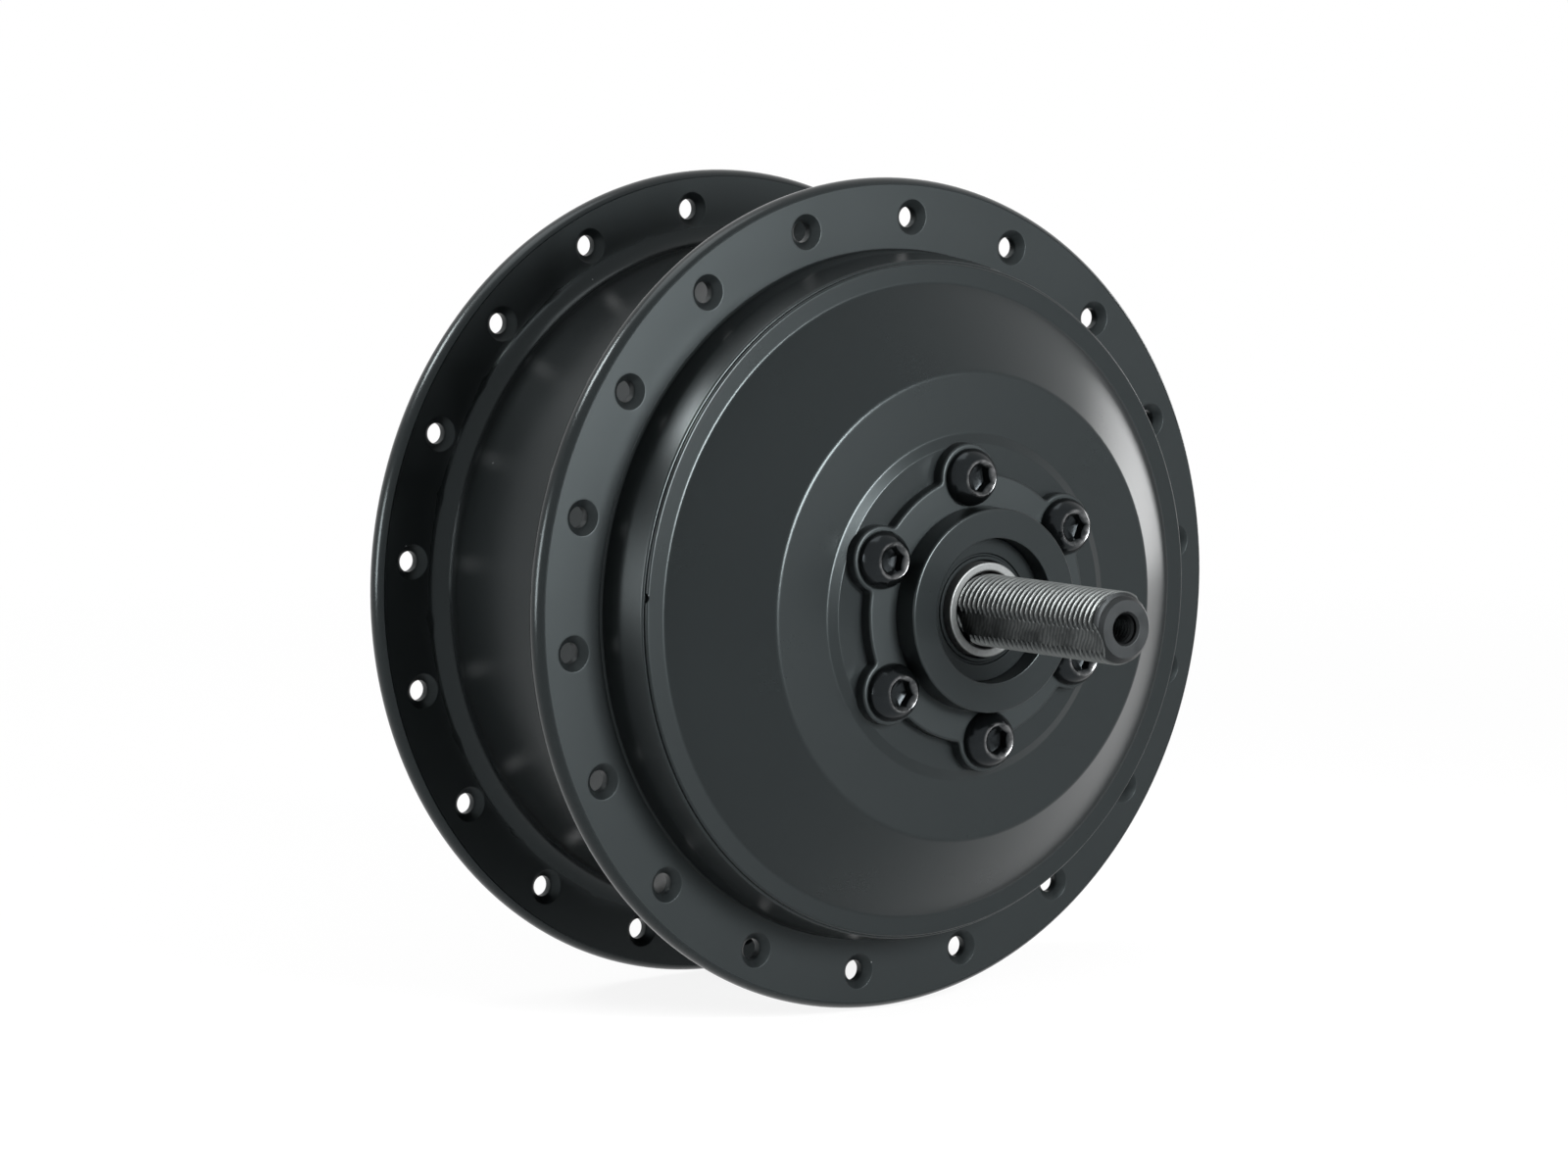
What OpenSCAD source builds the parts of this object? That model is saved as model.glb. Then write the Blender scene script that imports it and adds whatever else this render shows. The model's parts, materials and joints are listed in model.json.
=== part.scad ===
// Geared hub motor for the rear wheel of a bicycle.
// The axle lies along Y. The brake disc side faces -Y, the freewheel side faces +Y, and Z is up.
// The origin is the middle of the axle, halfway between the frame's dropouts.
// Every piece is drawn upright, with z along the axle towards the disc side, and then laid down.

/* [Wheel and frame] */
// Distance between the frame's dropouts
dropout_w = 135; // [125:1:148]
// Length of axle outside each dropout
axle_stick = 23.1; // [20:0.1:30]
// Length of thread inside the freewheel side dropout
thread_inside = 3.5; // [2:0.1:6]
// Outer diameter of the two spoke flanges
flange_d = 140.8; // [128:0.2:160]
// Height of a flange above the drum
flange_h = 12.9; // [11.5:0.1:14.5]
// Thickness of a spoke flange
flange_t = 4; // [3.2:0.1:5]
// Roundness of a flange's rim
flange_edge = 1.6; // [0.6:0.1:1.6]
// Disc side dropout to the middle of the nearer flange
disc_flange_inset = 42.6; // [39:0.1:46]
// Freewheel side dropout to the middle of the nearer flange
gear_flange_inset = 44.3; // [40:0.1:48]
// Spoke holes in each flange
spoke_n = 18; // [12:1:20]
// Rim of a flange to the middle of its spoke holes
spoke_edge = 6.5; // [5.5:0.1:7.4]
// Diameter of a spoke hole
spoke_hole_d = 3.5; // [2.6:0.1:4]
// Diameter of the countersink at each end of a spoke hole
spoke_sink_d = 6; // [5:0.1:6.4]

/* [Shell] */
// Radius of the fillets between the drum and the flanges
drum_fillet = 4; // [2:0.1:5]
// How far the low wall beside the disc side flange stands in from the drum
wall_inset = 0.5; // [0.1:0.1:1]
// Height of that wall above the flange's face
wall_h = 9.9; // [8.5:0.1:12]
// Radius of the fillet at the foot of that wall
wall_fillet = 1.6; // [1:0.1:2]
// Thickness of the drum around the motor
drum_wall = 4.5; // [4:0.1:5]
// Thickness of the side wall on the freewheel side
side_wall = 3.6; // [3:0.1:4.2]
// How far that side wall bulges past its flange
side_bulge = 5.3; // [4.5:0.1:6]
// Outer diameter of the thread that takes the freewheel
freewheel_thread_d = 34.92; // [34.5:0.01:36]
// Length of that thread
freewheel_thread_l = 13.5; // [12.5:0.1:16]
// Outer diameter of the shoulder that the freewheel stops against
freewheel_stop_d = 45; // [40:0.5:50]
// Size of the notch at the joint between the shell and its cover
notch_d = 1.6; // [1:0.1:2]

/* [Disc side cover] */
// Height of the cover's rim above the end of the shell
cover_rim_h = 0.7; // [0.5:0.1:1.5]
// Width of the flat band inside the rim
cover_band_w = 3.4; // [2:0.1:5]
// Length of the cover's thread inside the shell
cover_thread_l = 7; // [6:0.1:8]
// Thickness of the shell around that thread
thread_wall = 2; // [1.8:0.1:2.6]
// How far the cover's rim reaches over the end of the shell
cover_rim_w = 1.6; // [1:0.1:1.9]
// Wire diameter of the cover's sealing ring
o_ring_d = 1.6; // [1.2:0.1:2]
// Thickness of the cover's cone
cover_wall = 3.5; // [3:0.1:4]
// Diameter of the plateau at the top of the cone
plateau_d = 78; // [70:0.5:84]
// Diameter of the small step in the plateau
step_d = 57.8; // [56:0.1:62]
// Height of that step
step_h = 0.8; // [0.4:0.1:1.2]
// Width of the step's slope
step_w = 1.7; // [1:0.1:2.5]
// Height of the lobed seat for the brake disc above the step
seat_h = 2.2; // [1.5:0.1:3]
// How far the seat reaches past the screws' circle between its lobes
seat_over = 0.4; // [0.1:0.1:2]
// How far each lobe of the seat reaches past its screw's head
lobe_over = 0.8; // [0.4:0.1:1.4]
// Dropout to the face that the brake disc lies on
disc_setback = 15.3; // [14.8:0.1:16]
// Gap between the screws' heads and the collar that centres the brake disc
head_gap = 0.25; // [0.2:0.05:0.6]
// Height of that collar above the disc's seat
collar_h = 4.6; // [3:0.1:6]
// Diameter of the recess for the seal inside the collar
seal_seat_d = 24; // [22:0.1:25]
// Circle of the six brake disc screws
disc_pcd = 44; // [44:0.1:45]
// Thread diameter of the disc screws
screw_d = 5; // [4:0.1:5]
// Length of a disc screw below its head
screw_l = 10; // [8:0.5:10]
// Head diameter of a disc screw
screw_head_d = 9.6; // [8.5:0.1:10]
// Head height of a disc screw
screw_head_h = 3.5; // [2.7:0.1:4]
// Hexagon socket, across flats
screw_hex = 4; // [3:0.5:4]
// Depth of that socket
socket_l = 2.4; // [1.8:0.1:2.8]

/* [Axle] */
// Thread diameter at both ends of the axle
axle_d = 12; // [10:0.1:12]
// Width across the two flats at each end
axle_flats = 10; // [8.5:0.1:10]
// How far the flats are turned from upright, in degrees
flat_turn = 22; // [0:1:90]
// Diameter of the axle inside the freewheel
axle_gear_d = 15; // [14:0.1:15]
// Diameter of the axle under the stator
stator_seat_d = 20; // [18:0.5:22]
// Diameter of the collar that the stator stops against
axle_collar_d = 25; // [24:0.5:27]
// Width of that collar
axle_collar_l = 4; // [3:0.1:5]
// Width of the key between the axle and the stator
key_w = 4; // [3:0.1:5]
// Outer diameter of the spacer sleeve beside the disc side bearing
sleeve_d = 15.8; // [15:0.1:17]
// Bore for the cable at the freewheel end
cable_bore_d = 6.6; // [5:0.1:7]
// Bore of the rubber grommet in that bore
grommet_bore_d = 4.6; // [3:0.1:5]
// Length of the grommet
grommet_l = 10; // [6:0.5:14]
// Diameter of the centre hole at the disc end
centre_hole_d = 5.6; // [3:0.1:6]
// Depth of the centre hole
centre_hole_l = 10; // [6:1:16]

/* [Bearings] */
// Outer diameter of the three ball bearings
bearing_d = 28; // [28:0.1:29]
// Width of the disc side and the rotor bearing
bearing_w = 8; // [7:0.1:8]
// Width of the freewheel side bearing
gear_bearing_w = 7; // [6:0.1:7]
// Ball diameter in the disc side and the rotor bearing
ball_d = 4.7; // [3.5:0.1:4.8]
// Ball diameter in the freewheel side bearing
gear_ball_d = 3.9; // [3:0.1:4]
// Clearance between a ball and its races
ball_gap = 0.08; // [0.05:0.01:0.15]
// Width of the seal on the disc side
seal_w = 4; // [3:0.1:5]
// Depth of that seal below the collar's end
seal_recess = 3.3; // [2:0.1:4]
// Thickness of the lip between that seal and its bearing
seal_lip = 0.9; // [0.6:0.1:1.2]
// Width of the seal on the freewheel side
gear_seal_w = 2.4; // [2:0.1:3]

/* [Gears] */
// Depth of the ring gear's seat in the drum
ring_seat_h = 1; // [0.6:0.1:1.4]
// Thickness of the ring gear behind its teeth
ring_rim = 5.75; // [4:0.25:7]
// Teeth of the sun gear
sun_teeth = 20; // [20:3:23]
// Teeth of a planet gear
planet_teeth = 37; // [34:3:37]
// Number of planet gears
planet_n = 3; // [3:1:3]
// Width of the gears
gear_w = 12.2; // [10:0.1:13]
// Play on each side of a tooth
tooth_play = 0.06; // [0.04:0.01:0.1]
// Diameter of a planet's pin
planet_pin_d = 8; // [6:0.1:9]
// Outer diameter of a planet's bush
planet_bush_d = 13; // [12:0.1:15]
// Thickness of the sun gear's bush
sun_bush_t = 1; // [0.8:0.1:1.2]
// Length of that bush
sun_bush_l = 5; // [4:0.5:8]
// Thickness of the sun gear's flange
sun_flange_h = 2.5; // [2:0.1:3]
// Thread diameter of the sun gear's screws
sun_screw_d = 3; // [2.5:0.1:3.5]
// Length of those screws
sun_screw_l = 7.5; // [6:0.5:9]
// Thickness of the planet carrier
carrier_t = 4.5; // [4:0.1:5]
// Width of the carrier's rim outside the planets' pins
carrier_rim = 3.5; // [2:0.1:6]
// Diameter of the windows in the carrier
carrier_window_d = 12; // [8:0.5:14]
// Gap between the planets and their carrier
carrier_gap = 0.9; // [0.6:0.1:1.2]
// Rollers in the one-way clutch
clutch_n = 8; // [6:1:9]
// Diameter of a clutch roller
clutch_roller_d = 3.4; // [3:0.1:3.6]
// Outer diameter of the clutch's inner race
clutch_race_d = 18; // [17:0.1:19]

/* [Motor] */
// Teeth of the stator, each with a coil
stator_teeth = 18; // [12:3:18]
// Magnets in the rotor
magnet_n = 20; // [16:2:24]
// Inside of the side wall to the stator's stack of laminations
stack_inset = 7.6; // [7:0.1:9]
// Radial length of a stator tooth
tooth_l = 16; // [14:0.5:18]
// Radial width of the stator's yoke
yoke_w = 6; // [5:0.1:7]
// Clearance between the rotor and the drum
rotor_gap = 3; // [2:0.1:4]
// Gap between the stator and the magnets
air_gap = 0.6; // [0.5:0.05:0.8]
// Thickness of a magnet
magnet_t = 3; // [2.5:0.1:3.5]
// Space between two magnets
magnet_space = 1.6; // [1:0.1:2.4]
// Thickness of the rotor's can
can_t = 2.4; // [2:0.1:2.8]
// Thickness of the plate that carries the can
can_plate = 3; // [2.5:0.1:3.5]
// Diameter of the windows in that plate
can_window_d = 10; // [8:0.5:12]
// Width of a stator tooth
tooth_w = 6; // [5:0.1:6.4]
// Height of the coils past the stack at each end
coil_over = 5; // [4:0.1:5.6]
// Thickness of the board that carries the position sensors
board_t = 1.6; // [1:0.1:2]

/* [Fits] */
// Running clearance of a shaft in a bush
run_gap = 0.06; // [0.04:0.01:0.1]
// Clearance around the axle inside the sun gear and the sleeve
free_gap = 0.4; // [0.3:0.05:0.5]
// Play of the planets and of the thrust washer along the axle
end_play = 0.1; // [0.08:0.01:0.2]
// Clearance of pieces that are pushed or screwed together
push_gap = 0.05; // [0.02:0.01:0.08]

/* [Hidden] */

$fn = 96;
// Overshoot of a cutting shape past the face that it opens
cut = 1;

// Where the holes and screws stand, in degrees from +X towards +Z
disc_spoke_turn = 5;
gear_spoke_turn = 15;
screw_turn = 35;
screw_n = 6;
notch_turn = 176;

// Stations along the axle, from the wheel's centre plane towards the disc side
disc_flange_offset = dropout_w / 2 - disc_flange_inset;
gear_flange_offset = dropout_w / 2 - gear_flange_inset;
disc_flange_face = disc_flange_offset + flange_t / 2;
disc_flange_back = disc_flange_offset - flange_t / 2;
gear_flange_face = -gear_flange_offset - flange_t / 2;
gear_flange_back = -gear_flange_offset + flange_t / 2;
rim_z = disc_flange_face + wall_h;
band_z = rim_z + cover_rim_h;
seat_z = dropout_w / 2 - disc_setback;
pad_z = seat_z - seat_h;
plateau_z = pad_z - step_h;
collar_z = seat_z + collar_h;
axle_end = dropout_w / 2 + axle_stick;

// Stations of the seals and bearings on the axle
sleeve_inset = 1.9;
sleeve_end = collar_z - sleeve_inset;
seal_z = collar_z - seal_recess - seal_w;
disc_bearing_z = seal_z - seal_lip - bearing_w;
freewheel_stop_z = gear_flange_face - side_bulge;
freewheel_end_z = freewheel_stop_z - freewheel_thread_l;
gear_bearing_low = freewheel_end_z + gear_seal_w;
gear_bearing_z = gear_bearing_low + gear_bearing_w;
axle_step_z = -dropout_w / 2 + thread_inside;

// Stations of the gear stage
skirt_z = rim_z - cover_thread_l;
gear_z = skirt_z - gear_w;
carrier_z = skirt_z + carrier_gap;
pin_head_h = 0.5;
pin_head_over = 1.5;
planet_z = gear_z + 2.5 * end_play;
retaining_t = 1;
retaining_w = 2.5;
washer_w = 2.5;

// Stations of the motor
sun_gap = 0.8;
coil_gap = 1.5;
can_over = 2;
can_top = gear_z - sun_gap - sun_flange_h;
can_plate_z = can_top - can_plate;
stack_top = can_plate_z - coil_gap - coil_over;
side_inside_z = gear_flange_face + side_wall;
stack_z = side_inside_z + stack_inset;
stack_l = stack_top - stack_z;
rotor_bearing_z = can_top - bearing_w;
board_z = stack_z - axle_collar_l - board_t;
cable_exit_gap = 0.2;
cable_exit_z = board_z - cable_exit_gap - cable_bore_d / 2;

// Radii of the shell, the rotor and the stator, from the outside inwards
flange_r = flange_d / 2;
spoke_orbit = flange_r - spoke_edge;
drum_r = flange_r - flange_h;
wall_r = drum_r - wall_inset;
thread_r = wall_r - thread_wall;
drum_bore_r = drum_r - drum_wall;
ring_seat_r = drum_bore_r + ring_seat_h;
can_r = drum_bore_r - rotor_gap;
can_bore_r = can_r - can_t;
magnet_bore_r = can_bore_r - magnet_t;
stator_r = magnet_bore_r - air_gap;
yoke_r = stator_r - tooth_l;
stator_hub_r = yoke_r - yoke_w;
tooth_tip_h = 2.5;
slot_mouth = 2.2;

// Radii around the axle
axle_r = axle_d / 2;
axle_gear_r = axle_gear_d / 2;
axle_inside_r = axle_gear_r + 2;
stator_seat_r = stator_seat_d / 2;
sleeve_r = sleeve_d / 2;
sleeve_bore_r = axle_r + free_gap;
bearing_r = bearing_d / 2;
bearing_lip = 2.5;
seal_lip_r = bearing_r - bearing_lip;
seal_seat_r = seal_seat_d / 2;
screw_orbit = disc_pcd / 2;
screw_head_r = screw_head_d / 2;
collar_r = screw_orbit - screw_head_r - head_gap;

// Sizes of the gears; the tooth module is the pitch diameter per tooth
ring_teeth = sun_teeth + 2 * planet_teeth;
dedendum_share = 1.25;
gear_module = (ring_seat_r - ring_rim) / (ring_teeth / 2 + dedendum_share);
addendum = gear_module;
dedendum = dedendum_share * gear_module;
pressure = 20;
sun_pitch_r = gear_module * sun_teeth / 2;
planet_pitch_r = gear_module * planet_teeth / 2;
ring_pitch_r = gear_module * ring_teeth / 2;
planet_orbit = sun_pitch_r + planet_pitch_r;
planet_turn = 90;
sun_bore_r = axle_r + free_gap;
sun_bush_r = axle_r + sun_bush_t;
sun_screw_orbit = bearing_r + sun_screw_d;
sun_flange_r = sun_screw_orbit + 2.5;
sun_screw_n = 6;
clutch_race_r = clutch_race_d / 2;
clutch_roller_r = clutch_roller_d / 2;
clutch_orbit = clutch_race_r + clutch_roller_r;
clutch_bore_r = clutch_race_r + clutch_roller_d;
carrier_r = planet_orbit + planet_pin_d / 2 + carrier_rim;

// Points of a round corner, turning about its centre from one angle to another
function arc(centre, radius, from, to, steps = 8) =
    [for (i = [0:steps]) let (t = from + (to - from) * i / steps) centre + radius * [cos(t), sin(t)]];

// Lays an upright piece down along the axle
module on_axle() rotate([90, 0, 0]) children();

// Places a child at each of a number of equal turns
module each_turn(count, start = 0) for (i = [0:count - 1]) rotate(start + 360 * i / count) children();

// A plain ring between two stations
module tube(outer_r, inner_r, bottom, top) {
    difference() {
        translate([0, 0, bottom]) cylinder(r = outer_r, h = top - bottom);
        translate([0, 0, bottom - cut]) cylinder(r = inner_r, h = top - bottom + 2 * cut);
    }
}

// Ball bearing: the balls' mean radius, and the half widths of the room between the races and of the cage
function ball_orbit(bore) = (bore + bearing_d) / 4;
function race_gap(ball) = ball * 0.3;
function cage_half(ball) = ball * 0.18;

// One race of a ball bearing, with the groove that the balls run in
module race(outer_r, inner_r, width, orbit, ball, bottom) {
    difference() {
        tube(outer_r, inner_r, bottom, bottom + width);
        translate([0, 0, bottom + width / 2]) rotate_extrude()
            translate([orbit, 0]) circle(r = ball / 2 + ball_gap, $fn = 48);
    }
}

module inner_race(bore, width, ball, bottom) {
    orbit = ball_orbit(bore);
    color("lightgray") on_axle() race(orbit - race_gap(ball), bore / 2, width, orbit, ball, bottom);
}

module outer_race(bore, width, ball, bottom) {
    orbit = ball_orbit(bore);
    color("lightgray") on_axle() race(bearing_r, orbit + race_gap(ball), width, orbit, ball, bottom);
}

// Balls that fit round the orbit with a little room between them
function ball_count(bore, ball) = floor(360 / (2 * asin(ball / 2 / ball_orbit(bore))) * 0.7);

module bearing_balls(bore, width, ball, bottom) {
    color("silver") on_axle() each_turn(ball_count(bore, ball))
        translate([ball_orbit(bore), 0, bottom + width / 2]) sphere(d = ball, $fn = 48);
}

module bearing_cage(bore, width, ball, bottom) {
    orbit = ball_orbit(bore);
    side = ball * 0.55;
    middle = bottom + width / 2;
    color("goldenrod") on_axle() difference() {
        tube(orbit + cage_half(ball), orbit - cage_half(ball), middle - side, middle + side);
        each_turn(ball_count(bore, ball)) translate([orbit - ball / 2, 0, middle])
            rotate([0, 90, 0]) cylinder(r = ball / 2 + ball_gap, h = ball, $fn = 48);
    }
}

// Involute of a circle, in degrees
function inv(angle) = tan(angle) * 180 / PI - angle;
// Half the angle that a tooth covers at a radius, from its half angle on the pitch circle
function half_tooth(radius, pitch_r, half) =
    half + inv(pressure) - inv(acos(min(1, pitch_r * cos(pressure) / radius)));

// Outline of a toothed wheel; play is taken off each side of each tooth, and a negative play adds to it
module teeth_outline(count, root_r, tip_r, play, first) {
    pitch_r = gear_module * count / 2;
    half = 90 / count - play / pitch_r * 180 / PI;
    start_r = max(root_r, pitch_r * cos(pressure));
    radii = [start_r, (start_r + tip_r) / 2, tip_r];
    flank = [for (r = radii) [r, half_tooth(r, pitch_r, half)]];
    side = start_r > root_r + 0.05 ? concat([[root_r, flank[0][1]]], flank) : flank;
    last = len(side) - 1;
    polygon([for (i = [0:count - 1]) let (middle = first + 360 * i / count) each concat(
        [for (p = side) p[0] * [cos(middle - p[1]), sin(middle - p[1])]],
        [for (k = [last:-1:0]) side[k][0] * [cos(middle + side[k][1]), sin(middle + side[k][1])]]
    )]);
}

// Two flats at an axle end: what is left of a round bar between them
module axle_flat_cuts(from, to) {
    for (turn = [0, 180]) rotate(flat_turn + turn)
        translate([axle_flats / 2, -axle_d, from]) cube([axle_d, 2 * axle_d, to - from]);
}

module axle() {
    end_chamfer = 1.3;
    flat_stop = 2;
    shoulder_r = sleeve_r + 0.1;
    collar_low = stack_z - axle_collar_l;
    color("dimgray") on_axle() difference() {
        rotate_extrude() polygon([
            [0, -axle_end],
            [axle_r - end_chamfer, -axle_end],
            [axle_r, -axle_end + end_chamfer],
            [axle_r, axle_step_z],
            [axle_gear_r, axle_step_z],
            [axle_gear_r, gear_bearing_z],
            [axle_inside_r, gear_bearing_z],
            [axle_inside_r, collar_low],
            [axle_collar_d / 2, collar_low],
            [axle_collar_d / 2, stack_z],
            [stator_seat_r, stack_z],
            [stator_seat_r, stack_top],
            [shoulder_r, stack_top],
            [shoulder_r, rotor_bearing_z],
            [axle_r, rotor_bearing_z],
            [axle_r, axle_end - end_chamfer],
            [axle_r - end_chamfer, axle_end],
            [0, axle_end]
        ]);
        axle_flat_cuts(sleeve_end, axle_end + cut);
        axle_flat_cuts(-axle_end - cut, axle_step_z - flat_stop);
        translate([0, 0, -axle_end - cut]) cylinder(d = cable_bore_d, h = axle_end + cut + cable_exit_z);
        translate([0, 0, cable_exit_z]) rotate([-90, 0, 0])
            cylinder(d = cable_bore_d, h = axle_inside_r + cut);
        translate([0, 0, axle_end - centre_hole_l]) cylinder(d = centre_hole_d, h = centre_hole_l + cut);
        key_space();
    }
}

// The slots for the key between the axle and the stator's hub
module key_space() {
    translate([-key_w / 2, stator_seat_r - key_w / 2, stack_z]) cube([key_w, key_w, stack_l]);
}

module stator_key() {
    color("lightgray") on_axle() translate([-key_w / 2 + push_gap, stator_seat_r - key_w / 2, stack_z])
        cube([key_w - 2 * push_gap, key_w - push_gap, stack_l]);
}

module spacer_sleeve() {
    color("silver") on_axle() tube(sleeve_r, sleeve_bore_r, disc_bearing_z + bearing_w, sleeve_end);
}

module cable_grommet() {
    color("black") on_axle() tube(cable_bore_d / 2, grommet_bore_d / 2, -axle_end, -axle_end + grommet_l);
}

// The hub's holes stand halfway across its web and take half of its width
module stator_hub() {
    hole_n = 6;
    web = stator_hub_r - stator_seat_r;
    color("gainsboro") on_axle() difference() {
        tube(stator_hub_r, stator_seat_r, stack_z, stack_top);
        key_space();
        each_turn(hole_n) translate([stator_seat_r + web / 2, 0, stack_z - cut])
            cylinder(r = web / 4, h = stack_l + 2 * cut);
    }
}

// One slot between two teeth of the stator: a narrow mouth, then room for two coil sides
module stator_slot() {
    half_pitch = 180 / stator_teeth;
    tip_r = stator_r - tooth_tip_h;
    mouth_r = stator_r - tooth_tip_h / 2;
    inner_half = yoke_r * tan(half_pitch) - tooth_w / 2 / cos(half_pitch);
    outer_half = tip_r * tan(half_pitch) - tooth_w / 2 / cos(half_pitch);
    polygon([
        [yoke_r, -inner_half],
        [tip_r, -outer_half],
        [mouth_r, -slot_mouth / 2],
        [stator_r + cut, -slot_mouth / 2],
        [stator_r + cut, slot_mouth / 2],
        [mouth_r, slot_mouth / 2],
        [tip_r, outer_half],
        [yoke_r, inner_half]
    ]);
}

module stator_core() {
    color("slategray") on_axle() translate([0, 0, stack_z]) linear_extrude(stack_l) difference() {
        circle(r = stator_r);
        circle(r = stator_hub_r);
        each_turn(stator_teeth, 180 / stator_teeth) stator_slot();
    }
}

// One coil: a tapered block as wide as the room round its tooth, with the tooth's own space cut out
module coil() {
    foot_gap = 0.8;
    tip_gap = 0.5;
    foot_space = 0.25;
    tip_space = 0.8;
    half_pitch = 180 / stator_teeth;
    low_r = yoke_r + foot_gap;
    high_r = stator_r - tooth_tip_h - tip_gap;
    low_half = low_r * tan(half_pitch) - foot_space;
    high_half = high_r * tan(half_pitch) - tip_space;
    difference() {
        translate([0, 0, stack_z - coil_over]) linear_extrude(stack_l + 2 * coil_over) polygon([
            [low_r, -low_half],
            [high_r, -high_half],
            [high_r, high_half],
            [low_r, low_half]
        ]);
        translate([low_r - cut, -tooth_w / 2 - push_gap, stack_z - push_gap])
            cube([high_r - low_r + 2 * cut, tooth_w + 2 * push_gap, stack_l + 2 * push_gap]);
    }
}

module stator_coils() {
    color("chocolate") on_axle() each_turn(stator_teeth) coil();
}

// A round board on the axle's collar, with three sensors that read the magnets
module hall_sensor_board() {
    board_edge = 2;
    sensor = [3, 4, 1.5];
    sensor_edge = 1;
    sensor_n = 3;
    board_r = yoke_r - board_edge;
    color("darkgreen") on_axle() {
        tube(board_r, axle_inside_r + push_gap, board_z, board_z + board_t);
        each_turn(sensor_n, 180 / sensor_n)
            translate([board_r - sensor_edge - sensor[0], -sensor[1] / 2, board_z + board_t]) cube(sensor);
    }
}

module clutch_inner_race() {
    color("lightgray") on_axle() tube(clutch_race_r, axle_r, carrier_z, disc_bearing_z);
}

module clutch_rollers() {
    color("silver") on_axle() each_turn(clutch_n) translate([clutch_orbit, 0, carrier_z])
        cylinder(r = clutch_roller_r - push_gap, h = carrier_t);
}

module clutch_retaining_ring() {
    bottom = carrier_z + carrier_t;
    color("gray") on_axle() tube(clutch_race_r + retaining_w, clutch_race_r, bottom, bottom + retaining_t);
}

module thrust_washer() {
    color("goldenrod") on_axle()
        tube(axle_r + washer_w, axle_r + run_gap, skirt_z + end_play, carrier_z - end_play);
}

// The carrier's windows stand halfway between the clutch and the rim
module planet_carrier() {
    low = carrier_z - cut;
    through = carrier_t + 2 * cut;
    window_orbit = (clutch_bore_r + carrier_r) / 2;
    color("gainsboro") on_axle() difference() {
        translate([0, 0, carrier_z]) cylinder(r = carrier_r, h = carrier_t);
        translate([0, 0, low]) cylinder(r = clutch_bore_r, h = through);
        each_turn(planet_n, planet_turn) translate([planet_orbit, 0, low])
            cylinder(d = planet_pin_d, h = through);
        each_turn(planet_n, planet_turn + 180 / planet_n) translate([window_orbit, 0, low])
            cylinder(d = carrier_window_d, h = through);
    }
}

module planet_pins() {
    head_z = gear_z - pin_head_h;
    color("silver") on_axle() each_turn(planet_n, planet_turn) translate([planet_orbit, 0, head_z]) {
        cylinder(d = planet_pin_d + 2 * pin_head_over, h = pin_head_h);
        cylinder(d = planet_pin_d, h = carrier_z + carrier_t - head_z);
    }
}

// The angle of a space between two teeth of a planet, so that it meets a tooth of the sun
function planet_space(place) = place + 180 + (place - planet_turn) * sun_teeth / planet_teeth;

module planet_gear(number) {
    place = planet_turn + (number - 1) * 360 / planet_n;
    color("ivory") on_axle() rotate(place) translate([planet_orbit, 0, planet_z]) rotate(-place)
        difference() {
            linear_extrude(skirt_z - planet_z) teeth_outline(
                planet_teeth, planet_pitch_r - dedendum, planet_pitch_r + addendum, tooth_play,
                planet_space(place) + 180 / planet_teeth
            );
            translate([0, 0, -cut]) cylinder(d = planet_bush_d, h = gear_w + 2 * cut);
        }
}

module planet_bush(number) {
    place = planet_turn + (number - 1) * 360 / planet_n;
    color("goldenrod") on_axle() rotate(place) translate([planet_orbit, 0, 0])
        tube(planet_bush_d / 2, planet_pin_d / 2 + run_gap, planet_z, skirt_z);
}

module planet_gear_1() planet_gear(1);
module planet_gear_2() planet_gear(2);
module planet_gear_3() planet_gear(3);
module planet_bush_1() planet_bush(1);
module planet_bush_2() planet_bush(2);
module planet_bush_3() planet_bush(3);

module ring_gear() {
    color("darkgray") on_axle() translate([0, 0, gear_z]) linear_extrude(gear_w) difference() {
        circle(r = ring_seat_r, $fn = 180);
        teeth_outline(
            ring_teeth, ring_pitch_r - addendum, ring_pitch_r + dedendum, -tooth_play, planet_turn
        );
    }
}

module sun_gear() {
    color("silver") on_axle() difference() {
        union() {
            translate([0, 0, can_top]) cylinder(r = sun_flange_r, h = sun_flange_h);
            translate([0, 0, can_top]) linear_extrude(skirt_z - can_top) teeth_outline(
                sun_teeth, sun_pitch_r - dedendum, sun_pitch_r + addendum, tooth_play, planet_turn
            );
        }
        translate([0, 0, can_top - cut]) cylinder(r = sun_bore_r, h = skirt_z - can_top + 2 * cut);
        translate([0, 0, skirt_z - sun_bush_l]) cylinder(r = sun_bush_r, h = sun_bush_l + cut);
        each_sun_screw(push_gap);
    }
}

module sun_bush() {
    color("goldenrod") on_axle() tube(sun_bush_r, axle_r + run_gap, skirt_z - sun_bush_l, skirt_z);
}

// The small countersunk screws that hold the sun gear, or with some play the holes for them
module each_sun_screw(play) {
    face = can_top + sun_flange_h;
    shank_r = sun_screw_d / 2 + play;
    head_h = sun_screw_d / 2;
    each_turn(sun_screw_n) translate([sun_screw_orbit, 0, 0]) {
        translate([0, 0, face - head_h]) cylinder(r1 = shank_r, r2 = shank_r + head_h, h = head_h);
        translate([0, 0, face - sun_screw_l]) cylinder(r = shank_r, h = sun_screw_l - head_h);
    }
}

module sun_screws() {
    color("dimgray") on_axle() each_sun_screw(0);
}

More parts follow.
